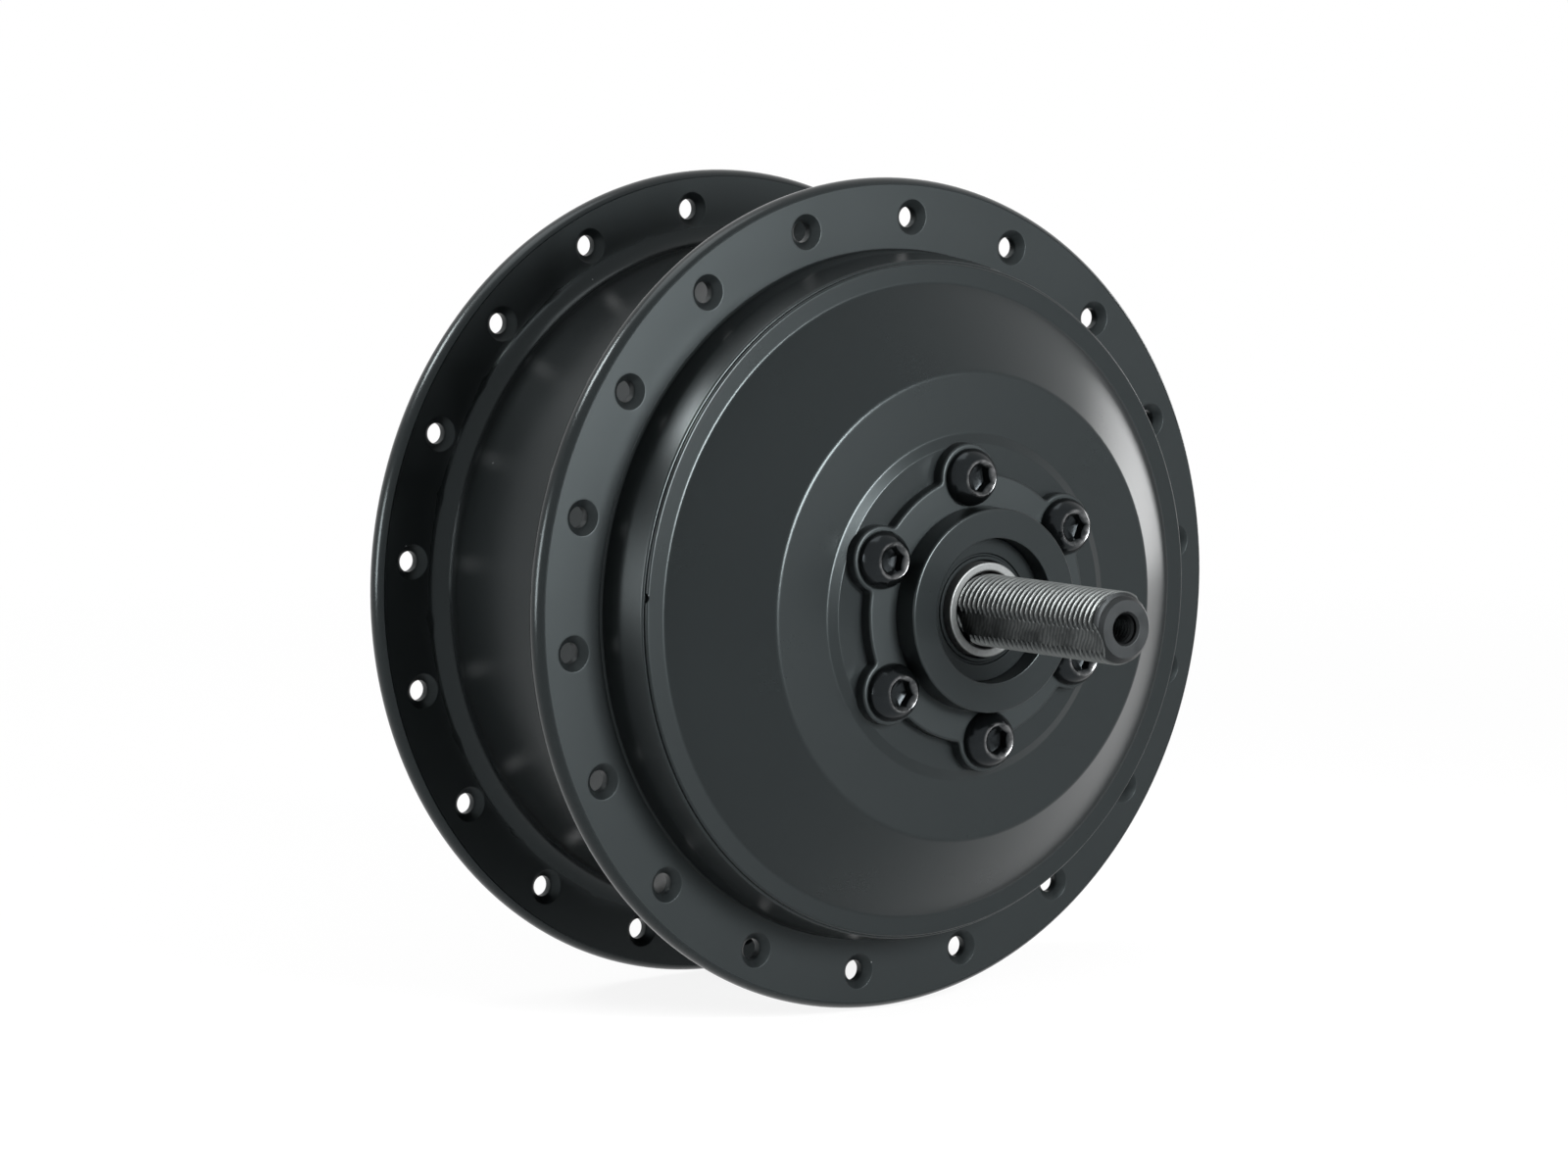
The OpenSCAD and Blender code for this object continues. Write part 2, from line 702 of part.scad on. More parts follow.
module rotor_can() {
    window_n = 8;
    chamfer = 1;
    hub_r = sun_flange_r + chamfer;
    window_orbit = (hub_r + can_bore_r) / 2;
    color("gray") on_axle() difference() {
        rotate_extrude() polygon([
            [bearing_r, can_top],
            [bearing_r, rotor_bearing_z],
            [hub_r, rotor_bearing_z],
            [hub_r, can_plate_z],
            [can_bore_r, can_plate_z],
            [can_bore_r, stack_z - can_over],
            [can_r, stack_z - can_over],
            [can_r, can_top - chamfer],
            [can_r - chamfer, can_top]
        ]);
        each_sun_screw(push_gap);
        each_turn(window_n) translate([window_orbit, 0, can_plate_z - cut])
            cylinder(d = can_window_d, h = can_plate + 2 * cut);
    }
}

module rotor_magnets() {
    color("lightsteelblue") on_axle() difference() {
        tube(can_bore_r, magnet_bore_r, stack_z, stack_top);
        each_turn(magnet_n) translate([magnet_bore_r - cut, -magnet_space / 2, stack_z - cut])
            cube([magnet_t + 2 * cut, magnet_space, stack_l + 2 * cut]);
    }
}

// Outline of a flange's rim, from one face round to the other
function flange_rim(face, back) = concat(
    arc([flange_r - flange_edge, face - flange_edge], flange_edge, 90, 0),
    arc([flange_r - flange_edge, back + flange_edge], flange_edge, 0, -90)
);

module hub_shell() {
    foot_r = drum_r + drum_fillet;
    side_r = drum_r + 0.5;
    thread_chamfer = 1;
    corner_w = 4;
    corner_h = 3;
    stop_r = freewheel_stop_d / 2;
    freewheel_r = freewheel_thread_d / 2;
    stop_inside_z = freewheel_stop_z + side_wall;
    color([0.16, 0.17, 0.18]) on_axle() difference() {
        rotate_extrude() polygon(concat(
            [[thread_r, rim_z], [wall_r, rim_z]],
            arc([wall_r + wall_fillet, disc_flange_face + wall_fillet], wall_fillet, 180, 270),
            flange_rim(disc_flange_face, disc_flange_back),
            arc([foot_r, disc_flange_back - drum_fillet], drum_fillet, 90, 180),
            arc([foot_r, gear_flange_back + drum_fillet], drum_fillet, 180, 270),
            flange_rim(gear_flange_back, gear_flange_face),
            [
                [side_r, gear_flange_face],
                [stop_r, freewheel_stop_z],
                [freewheel_r, freewheel_stop_z],
                [freewheel_r, freewheel_end_z + thread_chamfer],
                [freewheel_r - thread_chamfer, freewheel_end_z],
                [bearing_r, freewheel_end_z],
                [bearing_r, gear_bearing_z],
                [bearing_r - bearing_lip, gear_bearing_z],
                [bearing_r - bearing_lip, stop_inside_z],
                [stop_r - side_wall / 2, stop_inside_z],
                [drum_bore_r - corner_w, side_inside_z],
                [drum_bore_r, side_inside_z + corner_h],
                [drum_bore_r, gear_z],
                [ring_seat_r, gear_z],
                [ring_seat_r, skirt_z],
                [thread_r, skirt_z]
            ]
        ));
        each_turn(spoke_n, disc_spoke_turn) spoke_hole(disc_flange_back, disc_flange_face);
        each_turn(spoke_n, gear_spoke_turn) spoke_hole(gear_flange_face, gear_flange_back);
        rotate(notch_turn) translate([wall_r, 0, rim_z]) sphere(d = notch_d, $fn = 32);
    }
}

module spoke_hole(back, face) {
    sink = (spoke_sink_d - spoke_hole_d) / 2;
    hole_r = spoke_hole_d / 2;
    sink_r = spoke_sink_d / 2;
    translate([spoke_orbit, 0, 0]) {
        translate([0, 0, back - cut]) cylinder(r = hole_r, h = face - back + 2 * cut, $fn = 48);
        translate([0, 0, face - sink]) cylinder(r1 = hole_r, r2 = sink_r + cut, h = sink + cut, $fn = 48);
        translate([0, 0, back - cut]) cylinder(r1 = sink_r + cut, r2 = hole_r, h = sink + cut, $fn = 48);
    }
}

// The groove for the sealing ring, or with the same sizes the ring itself
module o_ring_round() {
    rotate_extrude() translate([thread_r - push_gap, 0]) circle(d = o_ring_d, $fn = 32);
}

module disc_side_cover() {
    rim_r = thread_r + cover_rim_w;
    rim_chamfer = 0.4;
    band_r = rim_r - cover_band_w;
    plateau_r = plateau_d / 2;
    step_r = step_d / 2;
    step_curve = 0.35;
    boss_wall = 3;
    boss_r = screw_orbit + screw_d / 2 + boss_wall;
    boss_chamfer = 1;
    hole_over = 0.3;
    weld = 0.2;
    wall_turn = atan2(plateau_z - band_z, band_r - plateau_r);
    inset = [cover_wall * sin(wall_turn), cover_wall * cos(wall_turn)];
    foot = 2.5;
    foot_dip = 0.15;
    crest = 1.2;
    crest_dip = 0.1;
    cone = [cos(wall_turn), -sin(wall_turn)];
    collar_chamfer = 0.6;
    seal_chamfer = 0.3;
    color([0.18, 0.19, 0.2]) on_axle() difference() {
        union() {
            rotate_extrude() polygon([
                [thread_r - push_gap, skirt_z],
                [thread_r - push_gap, rim_z],
                [rim_r, rim_z],
                [rim_r, band_z - rim_chamfer],
                [rim_r - rim_chamfer, band_z],
                [band_r + foot / 2, band_z],
                [band_r, band_z] - cone * foot / 2 - [0, foot_dip],
                [band_r, band_z] - cone * foot,
                [plateau_r, plateau_z] + cone * crest,
                [plateau_r, plateau_z] + cone * crest / 3 - [0, crest_dip],
                [plateau_r - crest, plateau_z],
                [step_r, plateau_z],
                [step_r - step_w * step_curve, plateau_z + step_h / 2],
                [step_r - step_w, pad_z],
                [collar_r, pad_z],
                [collar_r, collar_z - collar_chamfer],
                [collar_r - collar_chamfer, collar_z],
                [seal_seat_r + seal_chamfer, collar_z],
                [seal_seat_r, collar_z - seal_chamfer],
                [seal_seat_r, seal_z],
                [seal_lip_r, seal_z],
                [seal_lip_r, seal_z - seal_lip],
                [bearing_r, seal_z - seal_lip],
                [bearing_r, disc_bearing_z],
                [boss_r, disc_bearing_z],
                [boss_r + boss_chamfer, plateau_z - cover_wall],
                [plateau_r - inset[0], plateau_z - inset[1]],
                [band_r - inset[0], band_z - inset[1]],
                [thread_r - cover_wall, skirt_z]
            ]);
            translate([0, 0, pad_z - weld]) linear_extrude(seat_h + weld) difference() {
                union() {
                    circle(r = screw_orbit + seat_over);
                    each_turn(screw_n, screw_turn) translate([screw_orbit, 0])
                        circle(r = screw_head_r + lobe_over, $fn = 48);
                }
                circle(r = collar_r - weld);
            }
        }
        each_turn(screw_n, screw_turn) translate([screw_orbit, 0, seat_z - screw_l - hole_over])
            cylinder(d = screw_d, h = screw_l + hole_over + cut, $fn = 48);
        translate([0, 0, rim_z - cover_thread_l / 2]) o_ring_round();
    }
}

// The sealing ring fills its groove and is pressed flat against the shell's bore
module cover_o_ring() {
    color("black") on_axle() translate([0, 0, rim_z - cover_thread_l / 2]) difference() {
        o_ring_round();
        tube(thread_r + o_ring_d, thread_r, -o_ring_d, o_ring_d);
    }
}

// A round headed screw, drawn with the underside of its head at zero
module disc_screw() {
    foot_h = 0.7;
    crown_w = 0.57;
    tip = 0.5;
    socket_chamfer = 0.5;
    hex_r = screw_hex / 2 / cos(30);
    chamfer_r = hex_r - 0.1;
    crown_r = hex_r + crown_w;
    dome_h = screw_head_h - foot_h;
    dome_low = (pow(dome_h, 2) - pow(screw_head_r, 2) + pow(crown_r, 2)) / (2 * dome_h);
    dome_r = sqrt(pow(screw_head_r, 2) + pow(dome_low, 2));
    low_turn = atan2(-dome_low, screw_head_r);
    high_turn = atan2(dome_h - dome_low, crown_r);
    shank_r = screw_d / 2 - push_gap;
    difference() {
        rotate_extrude($fn = 48) polygon(concat(
            [[0, -screw_l], [shank_r - tip, -screw_l], [shank_r, -screw_l + tip]],
            [[shank_r, 0], [screw_head_r, 0]],
            arc([0, foot_h + dome_low], dome_r, low_turn, high_turn),
            [[0, screw_head_h]]
        ));
        translate([0, 0, screw_head_h - socket_l]) cylinder(r = hex_r, h = socket_l + cut, $fn = 6);
        translate([0, 0, screw_head_h - socket_chamfer])
            cylinder(r1 = chamfer_r, r2 = chamfer_r + socket_chamfer, h = socket_chamfer);
    }
}

module disc_screws() {
    color([0.08, 0.08, 0.09]) on_axle() each_turn(screw_n, screw_turn)
        translate([screw_orbit, 0, seat_z]) disc_screw();
}

module disc_side_seal() {
    color([0.12, 0.12, 0.12]) on_axle()
        tube(seal_seat_r, sleeve_r + run_gap, seal_z, seal_z + seal_w);
}

module gear_side_seal() {
    color([0.12, 0.12, 0.12]) on_axle()
        tube(bearing_r, axle_gear_r + run_gap, freewheel_end_z, freewheel_end_z + gear_seal_w);
}

module disc_bearing_inner_race() inner_race(axle_d, bearing_w, ball_d, disc_bearing_z);
module disc_bearing_outer_race() outer_race(axle_d, bearing_w, ball_d, disc_bearing_z);
module disc_bearing_balls() bearing_balls(axle_d, bearing_w, ball_d, disc_bearing_z);
module disc_bearing_cage() bearing_cage(axle_d, bearing_w, ball_d, disc_bearing_z);
module gear_bearing_inner_race() inner_race(axle_gear_d, gear_bearing_w, gear_ball_d, gear_bearing_low);
module gear_bearing_outer_race() outer_race(axle_gear_d, gear_bearing_w, gear_ball_d, gear_bearing_low);
module gear_bearing_balls() bearing_balls(axle_gear_d, gear_bearing_w, gear_ball_d, gear_bearing_low);
module gear_bearing_cage() bearing_cage(axle_gear_d, gear_bearing_w, gear_ball_d, gear_bearing_low);
module rotor_bearing_inner_race() inner_race(axle_d, bearing_w, ball_d, rotor_bearing_z);
module rotor_bearing_outer_race() outer_race(axle_d, bearing_w, ball_d, rotor_bearing_z);
module rotor_bearing_balls() bearing_balls(axle_d, bearing_w, ball_d, rotor_bearing_z);
module rotor_bearing_cage() bearing_cage(axle_d, bearing_w, ball_d, rotor_bearing_z);

axle();
spacer_sleeve();
cable_grommet();
stator_hub();
stator_key();
stator_core();
stator_coils();
hall_sensor_board();
planet_carrier();
planet_pins();
clutch_inner_race();
clutch_rollers();
clutch_retaining_ring();
thrust_washer();
disc_bearing_inner_race();
gear_bearing_inner_race();
rotor_bearing_inner_race();
hub_shell();
disc_side_cover();
cover_o_ring();
ring_gear();
disc_screws();
disc_side_seal();
gear_side_seal();
disc_bearing_outer_race();
gear_bearing_outer_race();
rotor_can();
rotor_magnets();
sun_gear();
sun_bush();
sun_screws();
rotor_bearing_outer_race();
planet_gear_1();
planet_gear_2();
planet_gear_3();
planet_bush_1();
planet_bush_2();
planet_bush_3();
disc_bearing_balls();
disc_bearing_cage();
gear_bearing_balls();
gear_bearing_cage();
rotor_bearing_balls();
rotor_bearing_cage();
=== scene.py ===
# %% [markdown]
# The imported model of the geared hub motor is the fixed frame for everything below.
# It could be modelled again from nothing, but then the looks and the moving parts would drift apart.
# Loading it first gives every body, every node and every station that the new pieces have to keep to.

# %% Load the frame
import json

import bmesh
import bpy
import numpy as np
from mathutils import Matrix, Vector


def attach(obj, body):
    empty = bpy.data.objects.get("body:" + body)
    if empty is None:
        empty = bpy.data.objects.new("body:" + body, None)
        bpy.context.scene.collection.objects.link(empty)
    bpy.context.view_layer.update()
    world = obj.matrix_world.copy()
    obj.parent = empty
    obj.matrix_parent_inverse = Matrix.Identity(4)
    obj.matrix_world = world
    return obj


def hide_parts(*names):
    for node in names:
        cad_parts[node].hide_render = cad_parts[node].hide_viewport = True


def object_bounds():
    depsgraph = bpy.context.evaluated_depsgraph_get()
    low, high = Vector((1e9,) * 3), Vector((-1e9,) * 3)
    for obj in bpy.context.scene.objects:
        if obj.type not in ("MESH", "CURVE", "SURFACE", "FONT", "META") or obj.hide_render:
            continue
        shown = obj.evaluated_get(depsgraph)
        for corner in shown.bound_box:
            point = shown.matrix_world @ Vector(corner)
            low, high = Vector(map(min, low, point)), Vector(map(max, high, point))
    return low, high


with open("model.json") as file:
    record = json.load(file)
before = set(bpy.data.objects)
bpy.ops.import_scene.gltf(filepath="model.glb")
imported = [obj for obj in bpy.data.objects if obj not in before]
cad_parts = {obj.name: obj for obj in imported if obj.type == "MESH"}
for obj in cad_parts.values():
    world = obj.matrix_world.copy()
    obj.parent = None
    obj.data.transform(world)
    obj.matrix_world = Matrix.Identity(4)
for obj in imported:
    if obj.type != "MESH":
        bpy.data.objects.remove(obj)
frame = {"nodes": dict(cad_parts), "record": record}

cad_low, cad_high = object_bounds()

# %% [markdown]
# The motor is turned about its axle, so nearly every surface is known by three numbers:
# a radius, a station along the axle and an angle round it. The source counts stations from the wheel's
# middle towards the brake side, which is world -Y, and angles from +X towards +Z.
# Lathe modifiers could do the turning, but a grid worked out as arrays also carries threads and holes.

# %% Stations, angles and grids
MM = 0.001
TINY, SAME_POINT = 1e-6, 1e-5


def laid(radius, station, turn):
    """Point on the motor: x = r cos t, y = -s and z = r sin t, from millimetres to metres."""
    radius, station, turn = np.broadcast_arrays(radius, station, turn)
    return np.stack([radius * np.cos(turn), -station, radius * np.sin(turn)], -1) * MM


def around(count, start=0.0):
    """Angles of a full turn in radians, with the first one again at the end, so that the seam closes."""
    return np.radians(start) + np.linspace(0, 2 * np.pi, count + 1)


def spin(profile, turns):
    """Surface of revolution: every point (r, s) of the profile is carried through every angle."""
    return laid(profile[:, None, 0], profile[:, None, 1], turns[None, :])


def rounded(corners, steps=4, margin=0.15):
    """Profile with round corners. For a corner P with radius q, and half the angle between its sides h,
    the arc's centre lies q / sin h from P on the bisector and the arc touches each side q / tan h from P.
    A point of support follows on each side, so that smooth shading keeps the flat parts flat."""
    table = np.asarray(corners, float)
    point, radius = table[:, :2], table[:, 2:]
    back, ahead = np.roll(point, 1, 0) - point, np.roll(point, -1, 0) - point
    back_len = np.linalg.norm(back, axis=1, keepdims=True)
    ahead_len = np.linalg.norm(ahead, axis=1, keepdims=True)
    a, b = back / back_len, ahead / ahead_len
    half = np.maximum(np.arccos(np.clip((a * b).sum(1, keepdims=True), -1, 1)) / 2, TINY)
    reach = radius / np.tan(half)
    bisector = a + b
    length = np.linalg.norm(bisector, axis=1, keepdims=True)
    centre = point + bisector / np.where(length > TINY, length, 1) * radius / np.sin(half)
    free = ahead_len - reach - np.roll(reach, -1, 0)
    assert free.min() > -TINY, f"corner {int(free.argmin())} is too round"
    ahead_room = np.minimum(margin, 0.3 * free)
    back_room = np.roll(ahead_room, 1, 0)
    sweep = np.pi - 2 * half
    t = np.linspace(0, 1, steps + 1)[None, :, None]
    first, last = point + a * reach - centre, point + b * reach - centre
    turn = np.where(sweep > TINY, sweep, 1)[:, None]
    bend = (np.sin((1 - t) * turn) * first[:, None] + np.sin(t * turn) * last[:, None]) / np.sin(turn)
    bend = centre[:, None] + bend
    is_round = radius > 0
    before = np.where(is_round, point + a * (reach + back_room), point)[:, None]
    after = np.where(is_round, point + b * (reach + ahead_room), point)[:, None]
    bend = np.where(is_round[:, None], bend, point[:, None])
    line = np.concatenate([before, bend, after], 1).reshape(-1, 2)
    step = np.linalg.norm(np.diff(line, axis=0, prepend=line[:1] - 1), axis=1)
    return line[step > SAME_POINT]


def closed(profile):
    """Profile with its first point again at the end."""
    return np.concatenate([profile, profile[:1]])


def arc(centre, radius, start, end, steps):
    """Circle's points c + q (cos t, sin t) from one angle to another, in degrees."""
    t = np.radians(np.linspace(start, end, steps + 1))
    return np.asarray(centre) + radius * np.stack([np.cos(t), np.sin(t)], -1)


print("grid helpers ready, 1 unit of the source is", MM, "m")

# %% [markdown]
# A grid of points becomes a mesh in one step: its quads follow from the row and column numbers.
# Neighbouring grids share their border points, which are merged, so each piece ends as one closed skin.
# The merged skin then gets its normals recalculated, because it is closed and cannot be misread.

# %% From grids to a finished piece
SHARP, WELD = np.radians(32), 2e-6


def quads(rows, columns, first):
    """Corner numbers of the quads of one grid whose first point has the number given."""
    corner = first + np.arange(rows * columns).reshape(rows, columns)
    return np.stack([corner[:-1, :-1], corner[:-1, 1:], corner[1:, 1:], corner[1:, :-1]], -1).reshape(-1, 4)


def piece(name, body, node, grids, finish):
    """One closed piece from grids of points, each (rows, columns, 3) or a stack of such grids."""
    points, faces, count = [], [], 0
    for stack in grids:
        stack = stack.reshape((-1,) + stack.shape[-3:])
        for grid in stack:
            faces.append(quads(grid.shape[0], grid.shape[1], count))
            points.append(grid.reshape(-1, 3))
            count += len(points[-1])
    mesh = bpy.data.meshes.new(name)
    mesh.from_pydata(np.concatenate(points).tolist(), [], np.concatenate(faces).tolist())
    work = bmesh.new()
    work.from_mesh(mesh)
    bmesh.ops.remove_doubles(work, verts=work.verts, dist=WELD)
    bmesh.ops.recalc_face_normals(work, faces=work.faces)
    open_edges = sum(len(e.link_faces) != 2 for e in work.edges)
    volume = work.calc_volume(signed=True)
    work.to_mesh(mesh)
    work.free()
    mesh.shade_smooth()
    mesh.set_sharp_from_angle(angle=SHARP)
    made = bpy.data.objects.new(name, mesh)
    bpy.context.scene.collection.objects.link(made)
    mesh.materials.append(finish)
    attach(made, body)
    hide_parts(node)
    mesh.calc_loop_triangles()
    print(f"{name}: {len(mesh.loop_triangles)} triangles, {open_edges} open edges, {volume * 1e6:.2f} cm3")
    return made


print("edges sharper than", round(np.degrees(SHARP)), "degrees stay crisp")

# %% [markdown]
# The camera stands where the photograph was taken, about a metre away with a long lens.
# It could be aimed by hand, but its place was worked out from the known circles of the flanges,
# so its three axes are written down and the picture needs no shift and no roll.

# %% Camera
CAMERA_PLACE, CAMERA_AIM = (-0.60783, -0.82268, 0.10595), (0.59017, 0.80055, -0.10399)
LENS_MM, SENSOR_MM = 136.94, 36

camera_data = bpy.data.cameras.new("view")
camera_data.lens = LENS_MM
camera_data.sensor_width = SENSOR_MM
camera_data.sensor_fit = "HORIZONTAL"
camera = bpy.data.objects.new("view", camera_data)
bpy.context.scene.collection.objects.link(camera)
forward = Vector(CAMERA_AIM).normalized()
right = forward.cross(Vector((0, 0, 1))).normalized()
up = right.cross(forward)
axes = Matrix((right, up, -forward)).transposed().to_4x4()
camera.matrix_world = Matrix.Translation(CAMERA_PLACE) @ axes
bpy.context.scene.camera = camera
print("camera at", [round(v, 3) for v in camera.matrix_world.translation])

# %% [markdown]
# A finish is a small graph of nodes. Drawing each one by hand hides the arithmetic in it, so a socket is
# wrapped in a class whose operators add the Math nodes: 1 - mask then reads as it does on paper.
# Every other node comes from one method, which sets the node's options before its sockets.


# %% Shader arithmetic
class Wire:
    """An output socket that can be added, multiplied and compared."""

    def __init__(self, tree, socket):
        self.tree, self.socket = tree, socket

    def math(self, operation, *terms):
        """One Math node on sockets and plain numbers."""
        node = self.tree.nodes.new("ShaderNodeMath")
        node.operation = operation
        for place, term in enumerate(terms):
            if isinstance(term, Wire):
                self.tree.links.new(term.socket, node.inputs[place])
            else:
                node.inputs[place].default_value = term
        return Wire(self.tree, node.outputs[0])

    def __add__(self, other):
        return self.math("ADD", self, other)

    def __sub__(self, other):
        return self.math("SUBTRACT", self, other)

    def __rsub__(self, other):
        return self.math("SUBTRACT", other, self)

    def __mul__(self, other):
        return self.math("MULTIPLY", self, other)

    def __gt__(self, other):
        return self.math("GREATER_THAN", self, other)

    def __lt__(self, other):
        return self.math("LESS_THAN", self, other)

    def sin(self):
        return self.math("SINE", self)

    def root(self):
        return self.math("SQRT", self)

    def largest(self, other):
        return self.math("MAXIMUM", self, other)


class Finish:
    """A material on one Principled shader. Values that are the same all over are set on its own sockets."""

    def __init__(self, name, colour, **constants):
        self.material = bpy.data.materials.new(name)
        self.material.use_nodes = True
        self.tree = self.material.node_tree
        self.shader = self.tree.nodes["Principled BSDF"]
        self.shader.inputs["Base Color"].default_value = (*colour, 1)
        self.material.diffuse_color = (*colour, 1)
        for socket, value in constants.items():
            self.shader.inputs[socket.replace("_", " ")].default_value = value

    def node(self, kind, settings, sockets, out=0):
        """Any node: its type, its settings, then values or links of its sockets by name or number."""
        node = self.tree.nodes.new(kind)
        for key, value in settings.items():
            setattr(node, key, value)
        for key, value in sockets.items():
            if isinstance(value, Wire):
                self.tree.links.new(value.socket, node.inputs[key])
            else:
                node.inputs[key].default_value = value
        return Wire(self.tree, node.outputs[out])

    def place(self):
        """Object coordinates in metres."""
        return self.node("ShaderNodeTexCoord", {}, {}, "Object")

    def axes(self):
        """The three object coordinates as numbers."""
        split = self.node("ShaderNodeSeparateXYZ", {}, {"Vector": self.place()})
        outputs = split.socket.node.outputs
        return [Wire(self.tree, outputs[name]) for name in "XYZ"]

    def radius(self):
        """Distance from the axle: the root of x squared plus z squared."""
        x, _, z = self.axes()
        return (x * x + z * z).root()

    def noise(self, size, detail=2.0, roughness=0.5):
        """Cloudy noise from 0 to 1 whose lumps are about the size given, in metres."""
        sockets = {"Vector": self.place(), "Scale": 1 / size, "Detail": detail, "Roughness": roughness}
        return self.node("ShaderNodeTexNoise", {}, sockets, 0)

    def blend(self, factor, low, high):
        """Colour between two others, each of them a fixed colour or the result of other nodes."""
        low, high = (c if isinstance(c, Wire) else (*c, 1) for c in (low, high))
        return self.node("ShaderNodeMix", {"data_type": "RGBA"}, {0: factor, 6: low, 7: high}, 2)

    def range(self, value, low, high, start, end):
        """Maps low..high to start..end and stays within them."""
        sockets = {"Value": value, "From Min": low, "From Max": high, "To Min": start, "To Max": end}
        return self.node("ShaderNodeMapRange", {"clamp": True}, sockets)

    def feed(self, socket, wire):
        """Links a result to one of the Principled shader's own sockets."""
        self.tree.links.new(wire.socket, self.shader.inputs[socket])

    def bump(self, height, depth, strength=1.0):
        """Height from 0 to 1 as a relief of the given depth in metres."""
        sockets = {"Height": height, "Distance": depth, "Strength": strength}
        self.feed("Normal", self.node("ShaderNodeBump", {}, sockets))


print("shader arithmetic ready")

# %% [markdown]
# The shell and its cover wear a satin black powder coat. Under a lamp it shows soft broad reflections,
# a fine orange peel, and a few grains of dust. A clear coat layer could give the same gloss, but the real
# powder is one layer: a nearly black plastic whose own roughness changes from place to place. Only masks of
# the radius and the station set those places, so the coat needs no picture and no unwrapped surface.

# %% Powder coat
COAT, COAT_TINT, DUST = (0.005, 0.006, 0.0063), (0.84, 0.97, 1.0, 1), (0.16, 0.17, 0.175)
PEEL_SIZE, GRAIN_SIZE, CLOUD_SIZE, DUST_GAP = 0.0011, 0.00028, 0.018, 0.007
PEEL_DEPTH, SIDE_ROUGHER, GLOSS_SWING, DUST_SIZE = 0.00003, 0.09, 0.12, 0.016
SEAT_Y, SEAT_FROM_R = -0.0515, 0.0171
FLANGE_FROM_R, FLANGE_TO_R, DISC_FLANGE_Y, GEAR_FLANGE_Y = 0.0586, 0.0692, -0.0228, 0.0211
SIDE_FROM_R, SIDE_TO_R, WALL_Y, WALL_FLARE = 0.0568, 0.0577, -0.0268, 0.0009


def coat_places(coat):
    """Masks of the flat parts, which are the flanges' faces and the lobed seat by the collar, and of the
    sides, which are the drum and the low wall behind the cover. The rims and fillets are in neither."""
    y, radius = coat.axes()[1], coat.radius()
    on_seat = (y < SEAT_Y) * (radius > SEAT_FROM_R)
    in_ring = (radius > FLANGE_FROM_R) * (radius < FLANGE_TO_R)
    on_flange = in_ring * (y < DISC_FLANGE_Y).largest(y > GEAR_FLANGE_Y)
    on_side = (radius > SIDE_FROM_R) * (radius - (y < WALL_Y) * WALL_FLARE < SIDE_TO_R)
    return on_seat.largest(on_flange), on_side


def powder_coat(name, rough, flat_rough, relief):
    """Satin black coat: rough on the flat parts, smoother on the sides and smoothest on rims and fillets."""
    coat = Finish(name, COAT, Roughness=rough, Specular_IOR_Level=0.25, Specular_Tint=COAT_TINT)
    peel, grain, cloud = coat.noise(PEEL_SIZE, 2), coat.noise(GRAIN_SIZE, 1), coat.noise(CLOUD_SIZE, 3)
    on_flat, on_side = coat_places(coat)
    level = on_flat * (flat_rough - rough) + on_side * SIDE_ROUGHER + rough
    swing = GLOSS_SWING * relief
    coat.feed("Roughness", level + coat.range(cloud * 0.6 + grain * 0.4, 0.3, 0.7, -swing, swing))
    cells = {"Vector": coat.place(), "Scale": 1 / DUST_GAP, "Randomness": 1.0}
    speck = coat.node("ShaderNodeTexVoronoi", {"feature": "F1"}, cells, "Distance")
    dust = (speck < DUST_SIZE) * (cloud > 0.5)
    coat.feed("Base Color", coat.blend(dust, COAT, DUST))
    coat.bump(peel * 0.6 + grain * 0.4, PEEL_DEPTH, relief)
    return coat


powder = powder_coat("powder_coat", 0.22, 0.4, 0.3)
smooth_powder = powder_coat("smooth_powder_coat", 0.28, 0.44, 0.06)
print("finishes:", powder.material.name, smooth_powder.material.name)

# %% [markdown]
# The dark steels: the axle is blackened, its thread crests are polished by nuts and its flats are milled,
# with slanted scratches that are a sine wave along one direction. The screws are blackened and oiled, and
# each socket's mouth carries a ring of bright steel, partly wear from the key and partly a painted
# highlight, which an attribute of their points marks. Both are metals, so the colour sits in the reflection
# and the noise in the gloss.

# %% Axle and screw steel
ROOT_STEEL, CREST_STEEL = (0.033, 0.036, 0.037), (0.125, 0.133, 0.132)
MILLED_STEEL, SCRATCH_STEEL, END_STEEL = (0.078, 0.084, 0.085), (0.22, 0.232, 0.23), (0.024, 0.026, 0.027)
FLAT_X, FLAT_Z, FLAT_FROM, END_FROM = 0.9272, 0.3746, 0.00494, 0.0893
SCRATCH_WAVES, STEEL_ROOT_R, STEEL_CREST_R = 9000, 0.0054, 0.0060

axle_steel = Finish("dark_axle_steel", (0.10, 0.103, 0.108), Roughness=0.4, Metallic=1.0)
axle_cloud = axle_steel.noise(0.003, 3)
axle_x, axle_y, axle_z = axle_steel.axes()
crest = axle_steel.range(axle_steel.radius(), STEEL_ROOT_R, STEEL_CREST_R, 0.0, 1.0)
across_flats = axle_x * FLAT_X + axle_z * FLAT_Z
on_flat = across_flats.largest(0 - across_flats) > FLAT_FROM
on_end = axle_y.largest(0 - axle_y) > END_FROM
plain = on_flat.largest(on_end)
metal = axle_steel.blend(crest, ROOT_STEEL, CREST_STEEL)
slant = axle_y * 0.8 + axle_z * 0.5 - axle_x * 0.3
scratched = (slant * SCRATCH_WAVES + axle_cloud * 14).sin() * 0.5 + 0.5
scratched = scratched * on_flat
milled = axle_steel.blend(scratched * axle_cloud * 0.8, MILLED_STEEL, SCRATCH_STEEL)
dark = axle_steel.blend(on_flat, END_STEEL, milled)
axle_steel.feed("Base Color", axle_steel.blend(plain, metal, dark))
